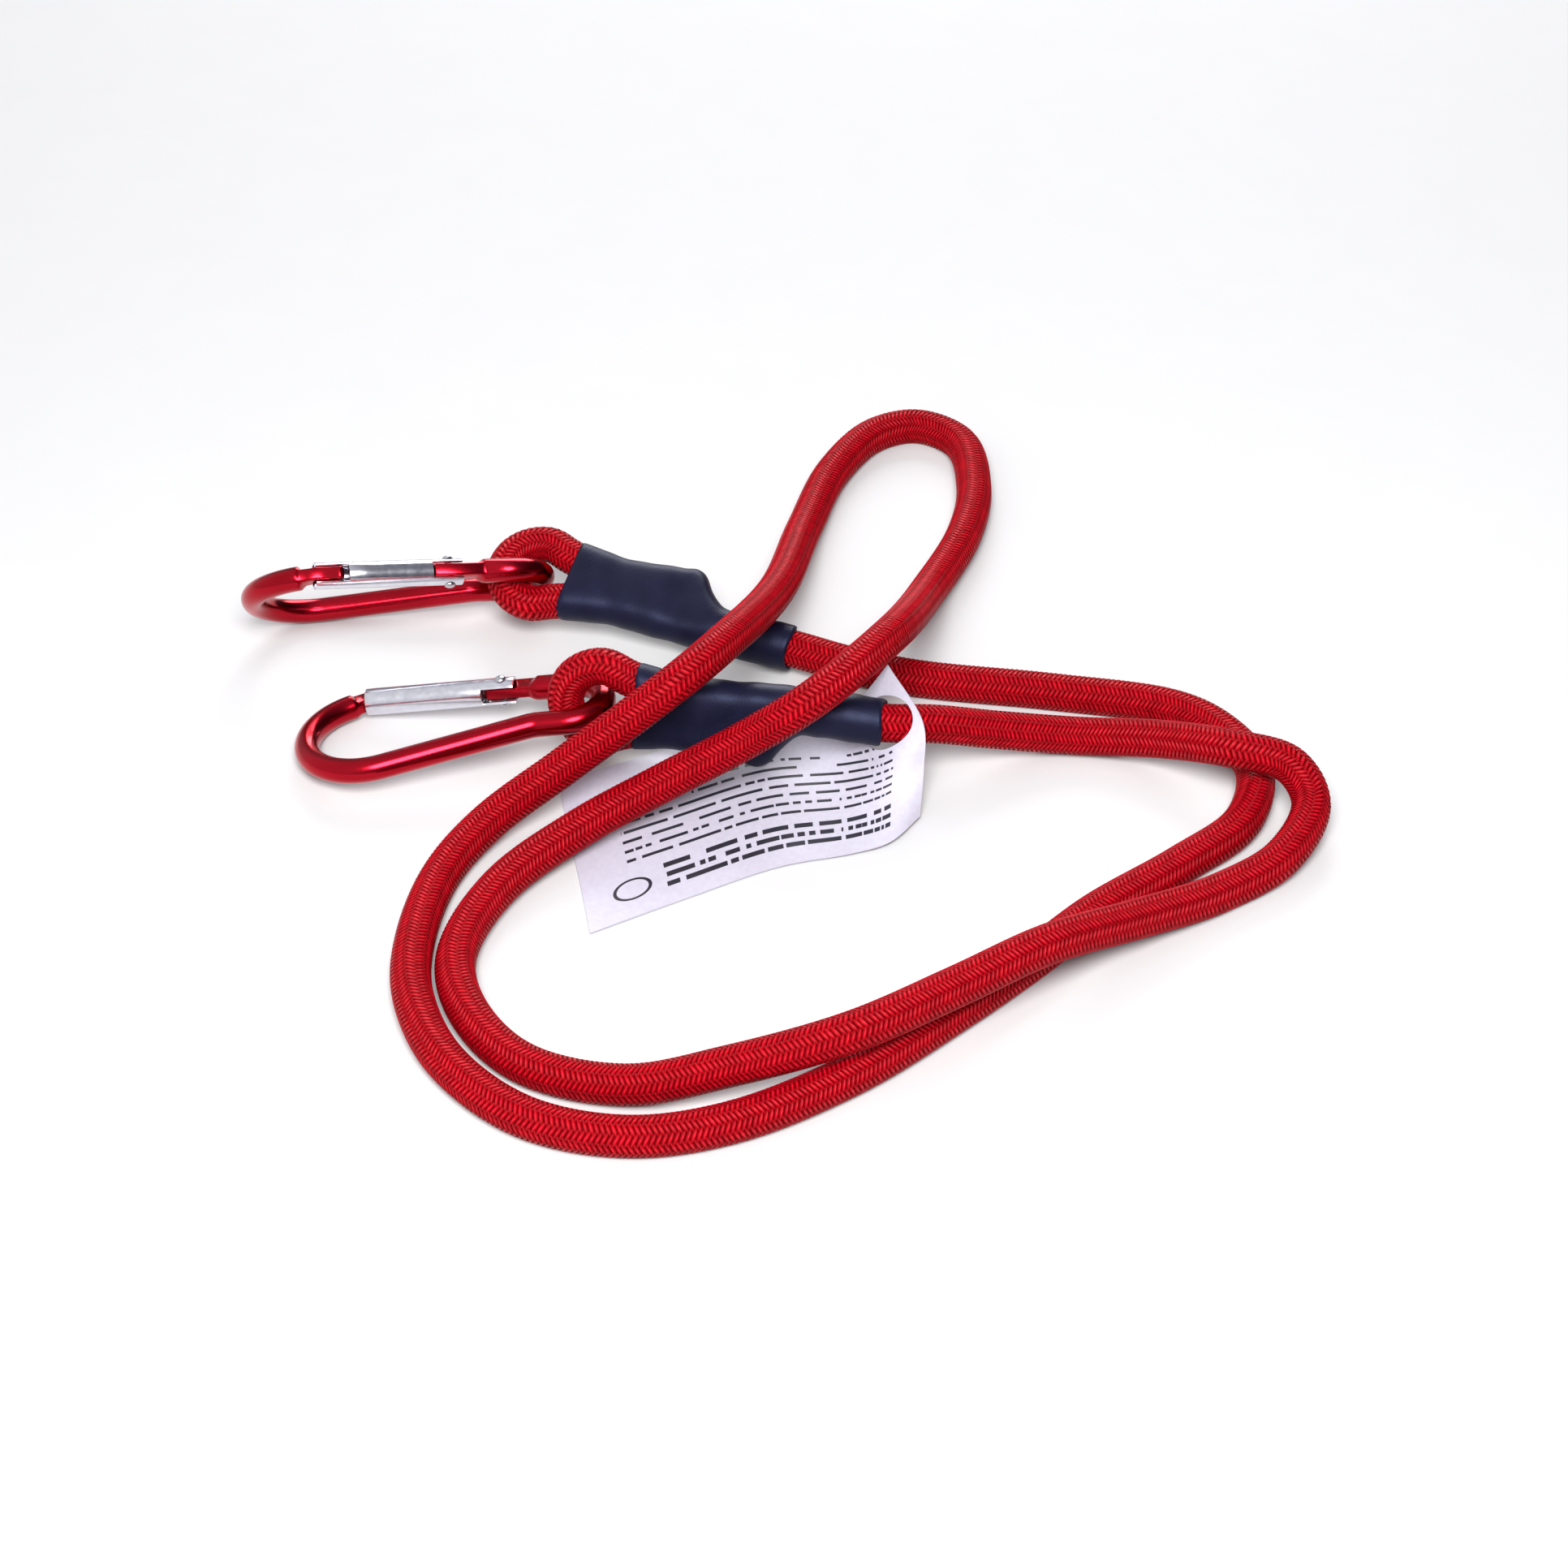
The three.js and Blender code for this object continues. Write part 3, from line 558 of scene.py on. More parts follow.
def staggered(tree, sizes, index, hose, tangent):
    """Moves the odd columns on by half a gap. Gives the points, the gap to the next ring, and odd or even."""
    link = tree.links.new
    odd = calc(tree, "MODULO", calc(tree, "MODULO", index, sizes["Columns"]), 2.0)
    place = tree.nodes.new("GeometryNodeInputPosition").outputs["Position"]
    ahead = add(tree, "GeometryNodeFieldAtIndex", data_type="FLOAT_VECTOR")
    link(calc(tree, "ADD", index, sizes["Columns"]), ahead.inputs["Index"])
    link(place, ahead.inputs["Value"])
    step = add(tree, "ShaderNodeVectorMath", operation="DISTANCE")
    link(ahead.outputs["Value"], step.inputs[0])
    link(place, step.inputs[1])
    widest_gap = calc(tree, "MULTIPLY", sizes["Pitch"], 2.0)
    gap = calc(tree, "MINIMUM", step.outputs["Value"], widest_gap)
    shift = add(tree, "ShaderNodeVectorMath", operation="SCALE")
    link(tangent, shift.inputs[0])
    link(calc(tree, "MULTIPLY", calc(tree, "MULTIPLY", gap, 0.5), odd), shift.inputs["Scale"])
    stagger = tree.nodes.new("GeometryNodeSetPosition")
    link(hose, stagger.inputs["Geometry"])
    link(shift.outputs["Vector"], stagger.inputs["Offset"])
    return stagger.outputs["Geometry"], gap, odd

# %% [markdown]
# Then one stitch is set on each place. It stands on the surface, points along the line, and leans to the
# side of its column. A random tint is stored on each stitch, with a fixed seed, so that no two yarns are
# quite alike and every run gives the same cord.

# %% Stitches on their places
def stitch_turn(tree, sizes, tangent, odd):
    """How a stitch is turned: out from the surface, along the line, and leaning to its column's side."""
    link = tree.links.new
    stand = add(tree, "FunctionNodeAxesToRotation", primary_axis="Z", secondary_axis="X")
    link(tree.nodes.new("GeometryNodeInputNormal").outputs["Normal"], stand.inputs["Primary Axis"])
    link(tangent, stand.inputs["Secondary Axis"])
    side = calc(tree, "SUBTRACT", 1.0, calc(tree, "MULTIPLY", odd, 2.0))
    lean = add(tree, "FunctionNodeAxisAngleToRotation", Axis=(0, 0, 1))
    link(calc(tree, "MULTIPLY", sizes["Slant"], side), lean.inputs["Angle"])
    turn = add(tree, "FunctionNodeRotateRotation", rotation_space="LOCAL")
    link(stand.outputs["Rotation"], turn.inputs["Rotation"])
    link(lean.outputs["Rotation"], turn.inputs["Rotate By"])
    return turn.outputs["Rotation"]


def set_stitches(tree, sizes, index, points, gap, turn):
    """A stitch on each point of the wanted rings, as long as the gap to the next ring."""
    link = tree.links.new
    picked = tree.nodes.new("GeometryNodeObjectInfo")
    link(sizes["Stitch"], picked.inputs["Object"])
    size = add(tree, "ShaderNodeCombineXYZ", Y=1.0, Z=1.0)
    link(gap, size.inputs["X"])
    ring = calc(tree, "FLOOR", calc(tree, "DIVIDE", index, sizes["Columns"]))
    from_first = calc(tree, "GREATER_THAN", ring, calc(tree, "SUBTRACT", sizes["First Ring"], 0.5))
    to_last = calc(tree, "LESS_THAN", ring, calc(tree, "SUBTRACT", sizes["Last Ring"], 0.5))
    stitches = tree.nodes.new("GeometryNodeInstanceOnPoints")
    link(calc(tree, "MULTIPLY", from_first, to_last), stitches.inputs["Selection"])
    link(points, stitches.inputs["Points"])
    link(picked.outputs["Geometry"], stitches.inputs["Instance"])
    link(turn, stitches.inputs["Rotation"])
    link(size.outputs["Vector"], stitches.inputs["Scale"])
    dye = add(tree, "FunctionNodeRandomValue", data_type="FLOAT", Seed=stitch_seed)
    tint = add(tree, "GeometryNodeStoreNamedAttribute", data_type="FLOAT", domain="INSTANCE", Name="tint")
    link(stitches.outputs["Instances"], tint.inputs["Geometry"])
    link(dye.outputs[1], tint.inputs["Value"])
    return tint.outputs["Geometry"]

# %% [markdown]
# Last, the stitches are made real and whatever would reach below the table is pressed flat on it, because
# a soft cord settles where it lies. The steps are joined to one tree, whose inputs are the braid's sizes.

# %% Braid tree
def pressed_flat(tree, sizes, stitches):
    """The stitches as one mesh, with no point below the table."""
    link = tree.links.new
    real = tree.nodes.new("GeometryNodeRealizeInstances")
    link(stitches, real.inputs["Geometry"])
    parts = tree.nodes.new("ShaderNodeSeparateXYZ")
    link(tree.nodes.new("GeometryNodeInputPosition").outputs["Position"], parts.inputs["Vector"])
    flat = tree.nodes.new("ShaderNodeCombineXYZ")
    link(parts.outputs["X"], flat.inputs["X"])
    link(parts.outputs["Y"], flat.inputs["Y"])
    link(calc(tree, "MAXIMUM", parts.outputs["Z"], sizes["Table"]), flat.inputs["Z"])
    press = tree.nodes.new("GeometryNodeSetPosition")
    link(real.outputs["Geometry"], press.inputs["Geometry"])
    link(flat.outputs["Vector"], press.inputs["Position"])
    return press.outputs["Geometry"]


def braid_tree():
    """Stitches on rings along a curve. The sizes are inputs of the tree."""
    inputs = [(name, "Float") for name in ("Pitch", "Radius", "Slant", "Table")]
    inputs += [(name, "Int") for name in ("Columns", "First Ring", "Last Ring")]
    inputs += [("Stitch", "Object"), ("Yarn", "Material")]
    tree, sizes = new_tree("braid", inputs)
    index = tree.nodes.new("GeometryNodeInputIndex").outputs["Index"]
    hose, tangent = swept_hose(tree, sizes)
    points, gap, odd = staggered(tree, sizes, index, hose, tangent)
    turn = stitch_turn(tree, sizes, tangent, odd)
    stitches = set_stitches(tree, sizes, index, points, gap, turn)
    end_tree(tree, pressed_flat(tree, sizes, stitches), sizes["Yarn"])
    return tree


braid = braid_tree()
print("braid tree:", len(braid.nodes), "nodes")

# %% [markdown]
# The braid is made in stretches, so that no single mesh gets too heavy: one for each eye, and the free
# cord in a few lengths. Each length is cut from the same row of rings, so the columns run on from one to
# the next without a seam. What the black sleeves hide gets no stitches, and the eyes are strained a little
# thinner than the free cord.

# %% Braid along the cord
free_stretches = 4
eye_strain = 0.00015
table_lift = 0.00002
tuck = 2


def line_object(name, line):
    """A curve object with one open spline of straight steps."""
    data = bpy.data.curves.new(name, "CURVE")
    data.dimensions = "3D"
    spline = data.splines.new("POLY")
    spline.points.add(len(line) - 1)
    spline.points.foreach_set("co", np.column_stack([line, np.ones(len(line))]).ravel())
    holder = bpy.data.objects.new(name, data)
    bpy.context.scene.collection.objects.link(holder)
    return holder


def made_real(holder, name):
    """Replaces an object that has modifiers by a plain mesh object of what they make."""
    bpy.context.view_layer.update()
    graph = bpy.context.evaluated_depsgraph_get()
    mesh = bpy.data.meshes.new_from_object(holder.evaluated_get(graph), depsgraph=graph)
    mesh.name = name
    bpy.data.objects.remove(holder)
    piece = bpy.data.objects.new(name, mesh)
    bpy.context.scene.collection.objects.link(piece)
    return piece


def grown(name, line, tree, values):
    """What a tree makes of a line, as a plain mesh object. The values are for the tree's inputs."""
    holder = line_object(name + "_line", line)
    modifier = holder.modifiers.new(tree.name, "NODES")
    modifier.node_group = tree
    for item in tree.interface.items_tree:
        if item.in_out == "INPUT" and item.name in values:
            modifier[item.identifier] = values[item.name]
    return made_real(holder, name)


def braid_piece(name, line, radius, first_ring, last_ring):
    """The stitches of a line, on a hose of a given radius, from one of its rings up to another."""
    values = {
        "Pitch": stitch_pitch, "Radius": radius, "Slant": stitch_slant, "Table": table_lift,
        "Columns": stitch_columns, "First Ring": first_ring, "Last Ring": last_ring,
        "Stitch": stitch, "Yarn": red_yarn,
    }
    piece = grown(name, line, braid, values)
    print(name, len(piece.data.polygons), "faces")
    return piece


def ring_count(line):
    return int(np.linalg.norm(np.diff(line, axis=0), axis=1).sum() / stitch_pitch) + 1


# Of an eye, the stitches run between two points just inside the sleeve's mouth, one on each leg.
eye_count = len(eye_a)
near_tail, near_route = 2, eye_count - 5
free_end = eye_count + len(free_points)
tail_end = free_end + eye_count - 1
eye_lines = {
    "a": cord_line[near_tail * curve_steps : near_route * curve_steps + 1],
    "b": cord_line[(tail_end - near_route) * curve_steps : (tail_end - near_tail) * curve_steps + 1],
}
braid_pieces = [
    braid_piece(f"braid_eye_{letter}", line, ground_radius - eye_strain, 0, ring_count(line))
    for letter, line in eye_lines.items()
]
free_line = cord_line[(eye_count - 1) * curve_steps - tuck : free_end * curve_steps + tuck + 1]
marks = np.linspace(0, ring_count(free_line), free_stretches + 1).astype(int)
for number, (first, last) in enumerate(zip(marks, marks[1:]), start=1):
    braid_pieces.append(braid_piece(f"braid_{number}", free_line, ground_radius, int(first), int(last)))

# %% [markdown]
# The sleeves are black with a blue cast and a soft sheen, as shrunk plastic is. Two noises give the sheen its
# clouds and the surface its fine grain. The sheen gets its own blue tint, because the body is nearly black.

# %% Sleeve finish
def sleeve_finish():
    material, tree, shader = new_finish("shrunk_sleeve")
    place = coordinates(tree)
    fine = noise(tree, place, 2600.0, 2.0)
    cloudy = noise(tree, place, 140.0, 4.0)
    tree.links.new(
        ramp(tree, cloudy, (0.25, (0.0040, 0.0042, 0.0130)), (0.8, (0.0085, 0.0090, 0.0270))),
        shader.inputs["Base Color"],
    )
    tree.links.new(ramp(tree, cloudy, (0.2, grey(0.40)), (0.85, grey(0.52))), shader.inputs["Roughness"])
    height = calc(tree, "MULTIPLY_ADD", fine, 0.25, cloudy)
    tree.links.new(bump(tree, height, 0.0003, 0.5), shader.inputs["Normal"])
    shader.inputs["Specular IOR Level"].default_value = 0.25
    shader.inputs["Specular Tint"].default_value = (0.55, 0.60, 1.0, 1.0)
    return material


shrunk_sleeve = sleeve_finish()
print("finish:", shrunk_sleeve.name)

# %% [markdown]
# A shrunk tube follows what is under it: two legs of cord, the bands that bind them, the end of the tail, and
# then a single cord. So the sleeve is lofted through rings whose width and height change along it, from a
# short table of stations. Slow lumps are added, and the rings are rolled inwards at both ends.

# %% Rings of a sleeve
sleeve_wall = 0.0008
sleeve_sides = 56
sleeve_steps = 90
full_parting = 0.003
# Along the sleeve: place, middle of the lower and of the upper leg, radius, and how far the sides sink in.
sleeve_stations = [
    (0.000, -0.0048, 0.0048, 0.0039, 0.06),
    (0.004, -0.0042, 0.0042, 0.0039, 0.05),
    (0.009, -0.0036, 0.0035, 0.0039, 0.04),
    (0.014, -0.0034, 0.0032, 0.0039, 0.04),
    (0.019, -0.0036, 0.0035, 0.0040, 0.06),
    (0.0235, -0.0040, 0.0041, 0.0040, 0.09),
    (0.0265, -0.0042, 0.0045, 0.0039, 0.10),
    (0.0285, -0.0043, 0.0033, 0.0039, 0.06),
    (0.031, -0.0043, -0.0005, 0.0040, 0.02),
    (0.034, -0.0043, -0.0035, 0.0040, 0.0),
    (0.038, -0.0043, -0.0042, 0.0041, 0.0),
    (0.051, -0.0043, -0.0043, 0.00415, 0.0),
]


def smooth_table(rows, steps):
    """Rows of numbers, blended smoothly along their first number."""
    table = np.array(rows, float)
    places = np.linspace(table[0, 0], table[-1, 0], steps)
    slopes = np.gradient(table, table[:, 0], axis=0)
    out = []
    for x in places:
        i = min(int(np.searchsorted(table[:, 0], x, side="right")) - 1, len(table) - 2)
        run = table[i + 1, 0] - table[i, 0]
        t = (x - table[i, 0]) / run
        row = (
            table[i] * (1 - 3 * t**2 + 2 * t**3) + table[i + 1] * (3 * t**2 - 2 * t**3)
            + run * slopes[i] * (t**3 - 2 * t**2 + t) + run * slopes[i + 1] * (t**3 - t**2)
        )
        row[0] = x
        out.append(row)
    return out


def sleeve_ring(x, low, high, radius, sink):
    """A ring round two legs, drawn in between them."""
    t = ring_angles(sleeve_sides)
    middle, half = (low + high) / 2, (high - low) / 2
    flatness, waist = 2.6, 0.45
    side = np.tanh(flatness * np.sin(t)) / math.tanh(flatness)
    drawn = 1 - sink * np.exp(-((np.sin(t) / waist) ** 2)) * min(1.0, half / full_parting)
    y = middle + half * side + radius * np.sin(t)
    z = radius * np.cos(t) * drawn
    return np.column_stack([np.full(sleeve_sides, x), y, z])

# %% [markdown]
# The outer and the inner rings are sewn into one closed skin, so the sleeve has a real wall and open ends.
# The ends of a shrunk tube are seldom cut quite square, so the last rings wander a little along the cord.

# %% Sleeves
end_run = 0.004
roll_run = 0.0006
rough_cut = 0.00035
inner_ease = 0.0001
roll_share = 0.25
# Lumps along a sleeve: height, waves in radians per metre, and how often the phase counts.
lumps = ((0.00012, 420, 1), (0.00006, 930, 2))


def sleeve_piece(name, end, finish, phase):
    """A sleeve in its end's own axes, then set in place."""
    around = ring_angles(sleeve_sides)
    outer, inner = [], []
    for x, low, high, radius, sink in smooth_table(sleeve_stations, sleeve_steps):
        edge = min(x, sleeve_length - x)
        lump = sum(height * math.sin(x * waves + times * phase) for height, waves, times in lumps)
        swell = radius + lump * min(1.0, edge / end_run)
        rolled = sleeve_wall * roll_share * max(0.0, 1 - edge / roll_run)
        wander = rough_cut * np.sin(2 * around + phase) * max(0.0, 1 - edge / end_run)
        for rings, size in ((outer, swell + sleeve_wall - rolled), (inner, swell - inner_ease)):
            ring = sleeve_ring(x, low, high, size, sink)
            ring[:, 0] += wander
            rings.append(ring)
    points, faces = skin(outer + inner[::-1], closed_loop=True)
    piece = mesh_piece(name, points, faces, finish)
    piece.data.transform(end["matrix"])
    print(name, len(faces), "faces")
    return turned_out(piece)


sleeves = {
    letter: sleeve_piece(f"shrunk_sleeve_{letter}", ends[letter], shrunk_sleeve, phase)
    for letter, phase in (("a", 0.6), ("b", 2.1))
}

# %% [markdown]
# Under each sleeve two flat steel bands bind the legs. They are hidden, and are small closed hoops that
# follow the squeezed legs.

# %% Binding bands
band_width = 0.004
band_thickness = 0.0005
band_places = (0.008, 0.019)
band_clearance = 0.0003


def steel_finish():
    material, tree, shader = new_finish("plated_steel")
    grain = noise(tree, coordinates(tree), 1800.0, 3.0)
    tree.links.new(
        ramp(tree, grain, (0.2, (0.46, 0.46, 0.49)), (0.9, (0.66, 0.66, 0.69))), shader.inputs["Base Color"]
    )
    tree.links.new(ramp(tree, grain, (0.2, grey(0.22)), (0.9, grey(0.38))), shader.inputs["Roughness"])
    tree.links.new(bump(tree, grain, 0.00004, 0.4), shader.inputs["Normal"])
    shader.inputs["Metallic"].default_value = 1.0
    return material


plated_steel = steel_finish()


def band_piece(name, place, matrix):
    table = np.array(sleeve_stations)
    rings = []
    corners = ((0.0, 0.0), (band_width, 0.0), (band_width, band_thickness), (0.0, band_thickness))
    for x, inwards in corners:
        low, high, radius, sink = (np.interp(place + x, table[:, 0], column) for column in table.T[1:])
        rings.append(sleeve_ring(place + x, low, high, radius - band_clearance - inwards, sink))
    points, faces = skin(rings, closed_loop=True)
    piece = mesh_piece(name, points, faces, plated_steel, smooth=False)
    piece.data.transform(matrix)
    return turned_out(piece)


bands = {}
for letter, end in ends.items():
    for number, place in enumerate(band_places, start=1):
        node = f"clamp_{letter}{number}"
        bands[node] = band_piece(f"binding_band_{letter}{number}", place, end["matrix"])
print("binding bands:", len(bands))

# %% [markdown]
# The carabiners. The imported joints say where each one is: the gate's hinge gives a point and the axis
# across the carabiner, and the plunger's slide gives the direction along the gate. From these three the
# carabiner's own axes follow, so everything below can be drawn flat, with the gate lying on the X axis.

# %% Axes of a carabiner
rod_radius = 0.0026
frame_length = 0.0672
basket_radius = 0.0134
crown_radius = 0.0073
spine_slant = math.radians(20.8)
spine_bend = 0.008
neck_length = 0.0035
nose_start = math.radians(27.5)
nose_neck = 0.003
nose_reach = 0.006
hinge_neck = 0.0048
hinge_reach = 0.0037
gate_length = 0.032
gate_radius = 0.00285
gate_wall = 0.0005
rivet_setback = 0.0028
tongue_half_thickness = 0.0014
tongue_half_height = 0.002
tongue_rise = 0.0004

crown_x = frame_length - 2 * rod_radius
nose_x = basket_radius - basket_radius * math.sin(nose_start)
gate_start = nose_x + nose_neck
gate_end = gate_start + gate_length
hinge_x = gate_end - rivet_setback
tongue_end = hinge_x - hinge_reach
rod_end = gate_end + hinge_neck


def carabiner_matrix(letter):
    hinge = joints[f"gate_{letter}_open"]
    along = -Vector(joints[f"plunger_{letter}_slide"]["axis"]).normalized()
    across = Vector(hinge["axis"]).normalized()
    upward = across.cross(along).normalized()
    start = Vector(hinge["pos_m"]) - along * hinge_x
    turn = Matrix((along, upward, across)).transposed().to_4x4()
    return Matrix.Translation(start) @ turn


carabiners = {letter: carabiner_matrix(letter) for letter in ends}
for letter, matrix in carabiners.items():
    print("carabiner", letter, "starts at", [round(v, 4) for v in matrix.translation])

# %% [markdown]
# A carabiner's frame is anodised: clear red over bright metal. So the finish is a red metal with a thin
# glossy coat, and a fine noise breaks up its mirror a little.

# %% Frame finish
def anodised_finish():
    material, tree, shader = new_finish("red_anodised")
    place = coordinates(tree)
    cloudy = noise(tree, place, 90.0, 3.0)
    fine = noise(tree, place, 2200.0, 2.0)
    tree.links.new(
        ramp(tree, cloudy, (0.25, (0.36, 0.003, 0.012)), (0.8, (0.50, 0.006, 0.020))),
        shader.inputs["Base Color"],
    )
    tree.links.new(ramp(tree, fine, (0.2, grey(0.18)), (0.9, grey(0.26))), shader.inputs["Roughness"])
    tree.links.new(bump(tree, fine, 0.00003, 0.25), shader.inputs["Normal"])
    shader.inputs["Metallic"].default_value = 1.0
    shader.inputs["Coat Weight"].default_value = 0.12
    shader.inputs["Coat Roughness"].default_value = 0.1
    return material


red_anodised = anodised_finish()
print("finish:", red_anodised.name)

# %% [markdown]
# The frame is a bent round rod. Both of its ends are pressed to a flat tongue: one has a hook that catches
# in the gate, and the other carries the hinge. The rod is lofted: a rounded section runs along its line and
# changes from a circle to a rounded oblong at the ends. A lofted rod keeps its arcs round where it bends.

# %% Line and sections of the frame
hook_rise = 0.0002


def arc(centre, radius, start, stop, steps):
    angles = np.linspace(start, stop, steps)
    return [(centre[0] + radius * math.cos(a), centre[1] + radius * math.sin(a)) for a in angles]


def frame_line():
    """Points along the round rod from nose to hinge."""
    spine_end = crown_x - crown_radius - neck_length
    bend_run = spine_bend * math.tan(spine_slant / 2)
    rod = arc((basket_radius, -basket_radius), basket_radius, math.pi / 2 + nose_start,
              1.5 * math.pi + spine_slant, 48)
    rod += arc((spine_end - bend_run, -2 * crown_radius - spine_bend), spine_bend,
               math.pi / 2 + spine_slant, math.pi / 2, 10)
    rod += arc((crown_x - crown_radius, -crown_radius), crown_radius, -math.pi / 2, math.pi / 2, 30)
    return rod


def rod_sections():
    """Rows of x, y, half size in the plane, half size across it, and roundness (2 is a circle)."""
    tip = gate_start + nose_reach
    flat = (tongue_half_height, tongue_half_thickness, 6.0)
    hooked = (tongue_half_height + hook_rise, tongue_half_thickness, 6.0)
    rows = [
        (tip, tongue_rise + hook_rise, 0.0018, 0.0011, 5.0), (tip - 0.0003, tongue_rise + hook_rise, *hooked),
        (tip - 0.0015, tongue_rise + hook_rise, *hooked), (tip - 0.0017, tongue_rise, *flat),
        (gate_start + 0.0004, tongue_rise, *flat),
    ]
    rod = frame_line()
    first = np.array(rod[0])
    slope = np.array([math.cos(nose_start), math.sin(nose_start)])
    neck = np.array([gate_start, tongue_rise])
    for run, tall, thick, power in ((0.0024, 0.0020, 0.0014, 6.0), (0.0010, 0.0021, 0.0015, 5.0),
                                    (0.0005, 0.0023, 0.0020, 3.2), (0.0002, 0.00252, 0.0025, 2.2)):
        bent = first + slope * run
        straight = first + (neck - first) * run / nose_neck
        rows.append((*(0.5 * bent + 0.5 * straight), tall, thick, power))
    rows += [(x, y, rod_radius, rod_radius, 2.0) for x, y in rod]
    rows += [
        (rod_end + 0.0002, 0.0, rod_radius, rod_radius, 2.0), (rod_end - 0.0001, 0.0, 0.00252, 0.0025, 2.2),
        (rod_end - 0.0006, 0.0001, 0.0023, 0.0020, 3.2), (rod_end - 0.0012, 0.0003, 0.0021, 0.0015, 5.0),
        (rod_end - 0.002, tongue_rise, *flat), (tongue_end + 0.0005, tongue_rise, *flat),
        (tongue_end, tongue_rise, 0.0017, 0.0011, 5.0),
    ]
    return np.array(rows)

# %% [markdown]
# Each row of the table becomes a ring across the rod. A power curve draws it: a power of 2 is a circle, and
# higher powers come near to an oblong, so one formula serves the round rod and the flat tongues.

# %% Frames
frame_sides = 32


def frame_piece(letter, finish):
    rows = rod_sections()
    line = rows[:, :2]
    heading = np.gradient(line, axis=0)
    heading /= np.linalg.norm(heading, axis=1)[:, None]
    t = ring_angles(frame_sides)
    rings = []
    for (x, y, tall, thick, power), (dx, dy) in zip(rows, heading):
        u = np.sign(np.cos(t)) * np.abs(np.cos(t)) ** (2 / power) * tall
        w = np.sign(np.sin(t)) * np.abs(np.sin(t)) ** (2 / power) * thick
        rings.append(np.column_stack([x - dy * u, y + dx * u, w]))
    points, faces = skin(rings)
    piece = mesh_piece(f"carabiner_frame_{letter}", points, faces, finish)
    piece.data.transform(carabiners[letter])
    print(piece.name, len(faces), "faces")
    return turned_out(piece)


frames = {letter: frame_piece(letter, red_anodised) for letter in ends}

# %% [markdown]
# The gate is bright bare metal. Its mirror is broken by the fine grain that rolling leaves on the sheet.

# %% Gate finish
def gate_finish():
    material, tree, shader = new_finish("bright_sheet")
    grain = noise(tree, coordinates(tree), 700.0, 5.0)
    tree.links.new(
        ramp(tree, grain, (0.2, (0.64, 0.64, 0.71)), (0.9, (0.82, 0.82, 0.88))), shader.inputs["Base Color"]
    )
    tree.links.new(ramp(tree, grain, (0.2, grey(0.16)), (0.9, grey(0.27))), shader.inputs["Roughness"])
    tree.links.new(bump(tree, grain, 0.00005, 0.3), shader.inputs["Normal"])
    shader.inputs["Metallic"].default_value = 1.0
    return material


bright_sheet = gate_finish()
print("finish:", bright_sheet.name)

# %% [markdown]
# The gate is rolled from sheet: a tube with a slot in its roof at both ends, so that it can close over the
# tongues, and a notch on its inner side at the hinge. A flat grid of faces is bent round into a tube, the
# faces of the openings are left out, and Solidify and Bevel give the sheet its thickness and its edges.

# %% Gate
slot_half_width = 0.00155
nose_slot = 0.0071
hinge_slot = 0.0067
inner_notch = 0.007
stop_thickness = 0.0008
edge_bevel = 0.00012


def sheet_grid():
    """Places along the gate and angles round it, with a line on every edge of an opening."""
    stop = gate_start + nose_slot
    breaks = (gate_start, stop, gate_end - inner_notch, gate_end - hinge_slot, gate_end)
    along = np.concatenate([np.linspace(a, b, 5)[:-1] for a, b in zip(breaks, breaks[1:])] + [[gate_end]])
    edge = math.asin(slot_half_width / (gate_radius - gate_wall))
    turns = (-edge, edge, math.pi - edge, math.pi + edge, 2 * math.pi - edge)
    counts = (8, 10, 8, 10)
    around = np.concatenate([np.linspace(a, b, n + 1)[:-1] for a, b, n in zip(turns, turns[1:], counts)])
    return along, around, edge


def gate_piece(letter, finish):
    along, around, edge = sheet_grid()
    points = [(x, gate_radius * math.cos(a), gate_radius * math.sin(a)) for x in along for a in around]
    faces, sides = [], len(around)
    for i in range(len(along) - 1):
        x = (along[i] + along[i + 1]) / 2
        for j in range(sides):
            k = (j + 1) % sides
            height = math.cos((around[j] + (around[k] if k else 2 * math.pi - edge)) / 2)
            roof = height > math.cos(edge) and not gate_start + nose_slot < x < gate_end - hinge_slot
            notch = height < -math.cos(edge) and x > gate_end - inner_notch
            if not roof and not notch:
                faces.append((i * sides + j, i * sides + k, (i + 1) * sides + k, (i + 1) * sides + j))
    holder = mesh_piece(f"gate_{letter}_sheet", points, faces, finish)
    wall = holder.modifiers.new("wall", "SOLIDIFY")
    wall.thickness, wall.offset = gate_wall, -1
    edges = holder.modifiers.new("edges", "BEVEL")
    edges.width, edges.segments = edge_bevel, 2
    edges.limit_method, edges.angle_limit = "ANGLE", math.radians(40)
    piece = made_real(holder, f"gate_tube_{letter}")
    piece.data.set_sharp_from_angle(angle=math.radians(50))
    piece.data.transform(carabiners[letter])
    print(piece.name, len(piece.data.polygons), "faces")
    return piece


gates = {letter: gate_piece(letter, bright_sheet) for letter in ends}

# %% [markdown]
# Small turned pieces: the hinge rivet with a domed head on each side, the plunger, and the stop in the
# gate. Each is a profile spun round an axis.

# %% Rivet, plunger and stop
turned_sides = 28


def standing(axis):
    """A turn that brings Z to an axis."""
    return Vector(axis).to_track_quat("Z", "Y").to_matrix().to_4x4()


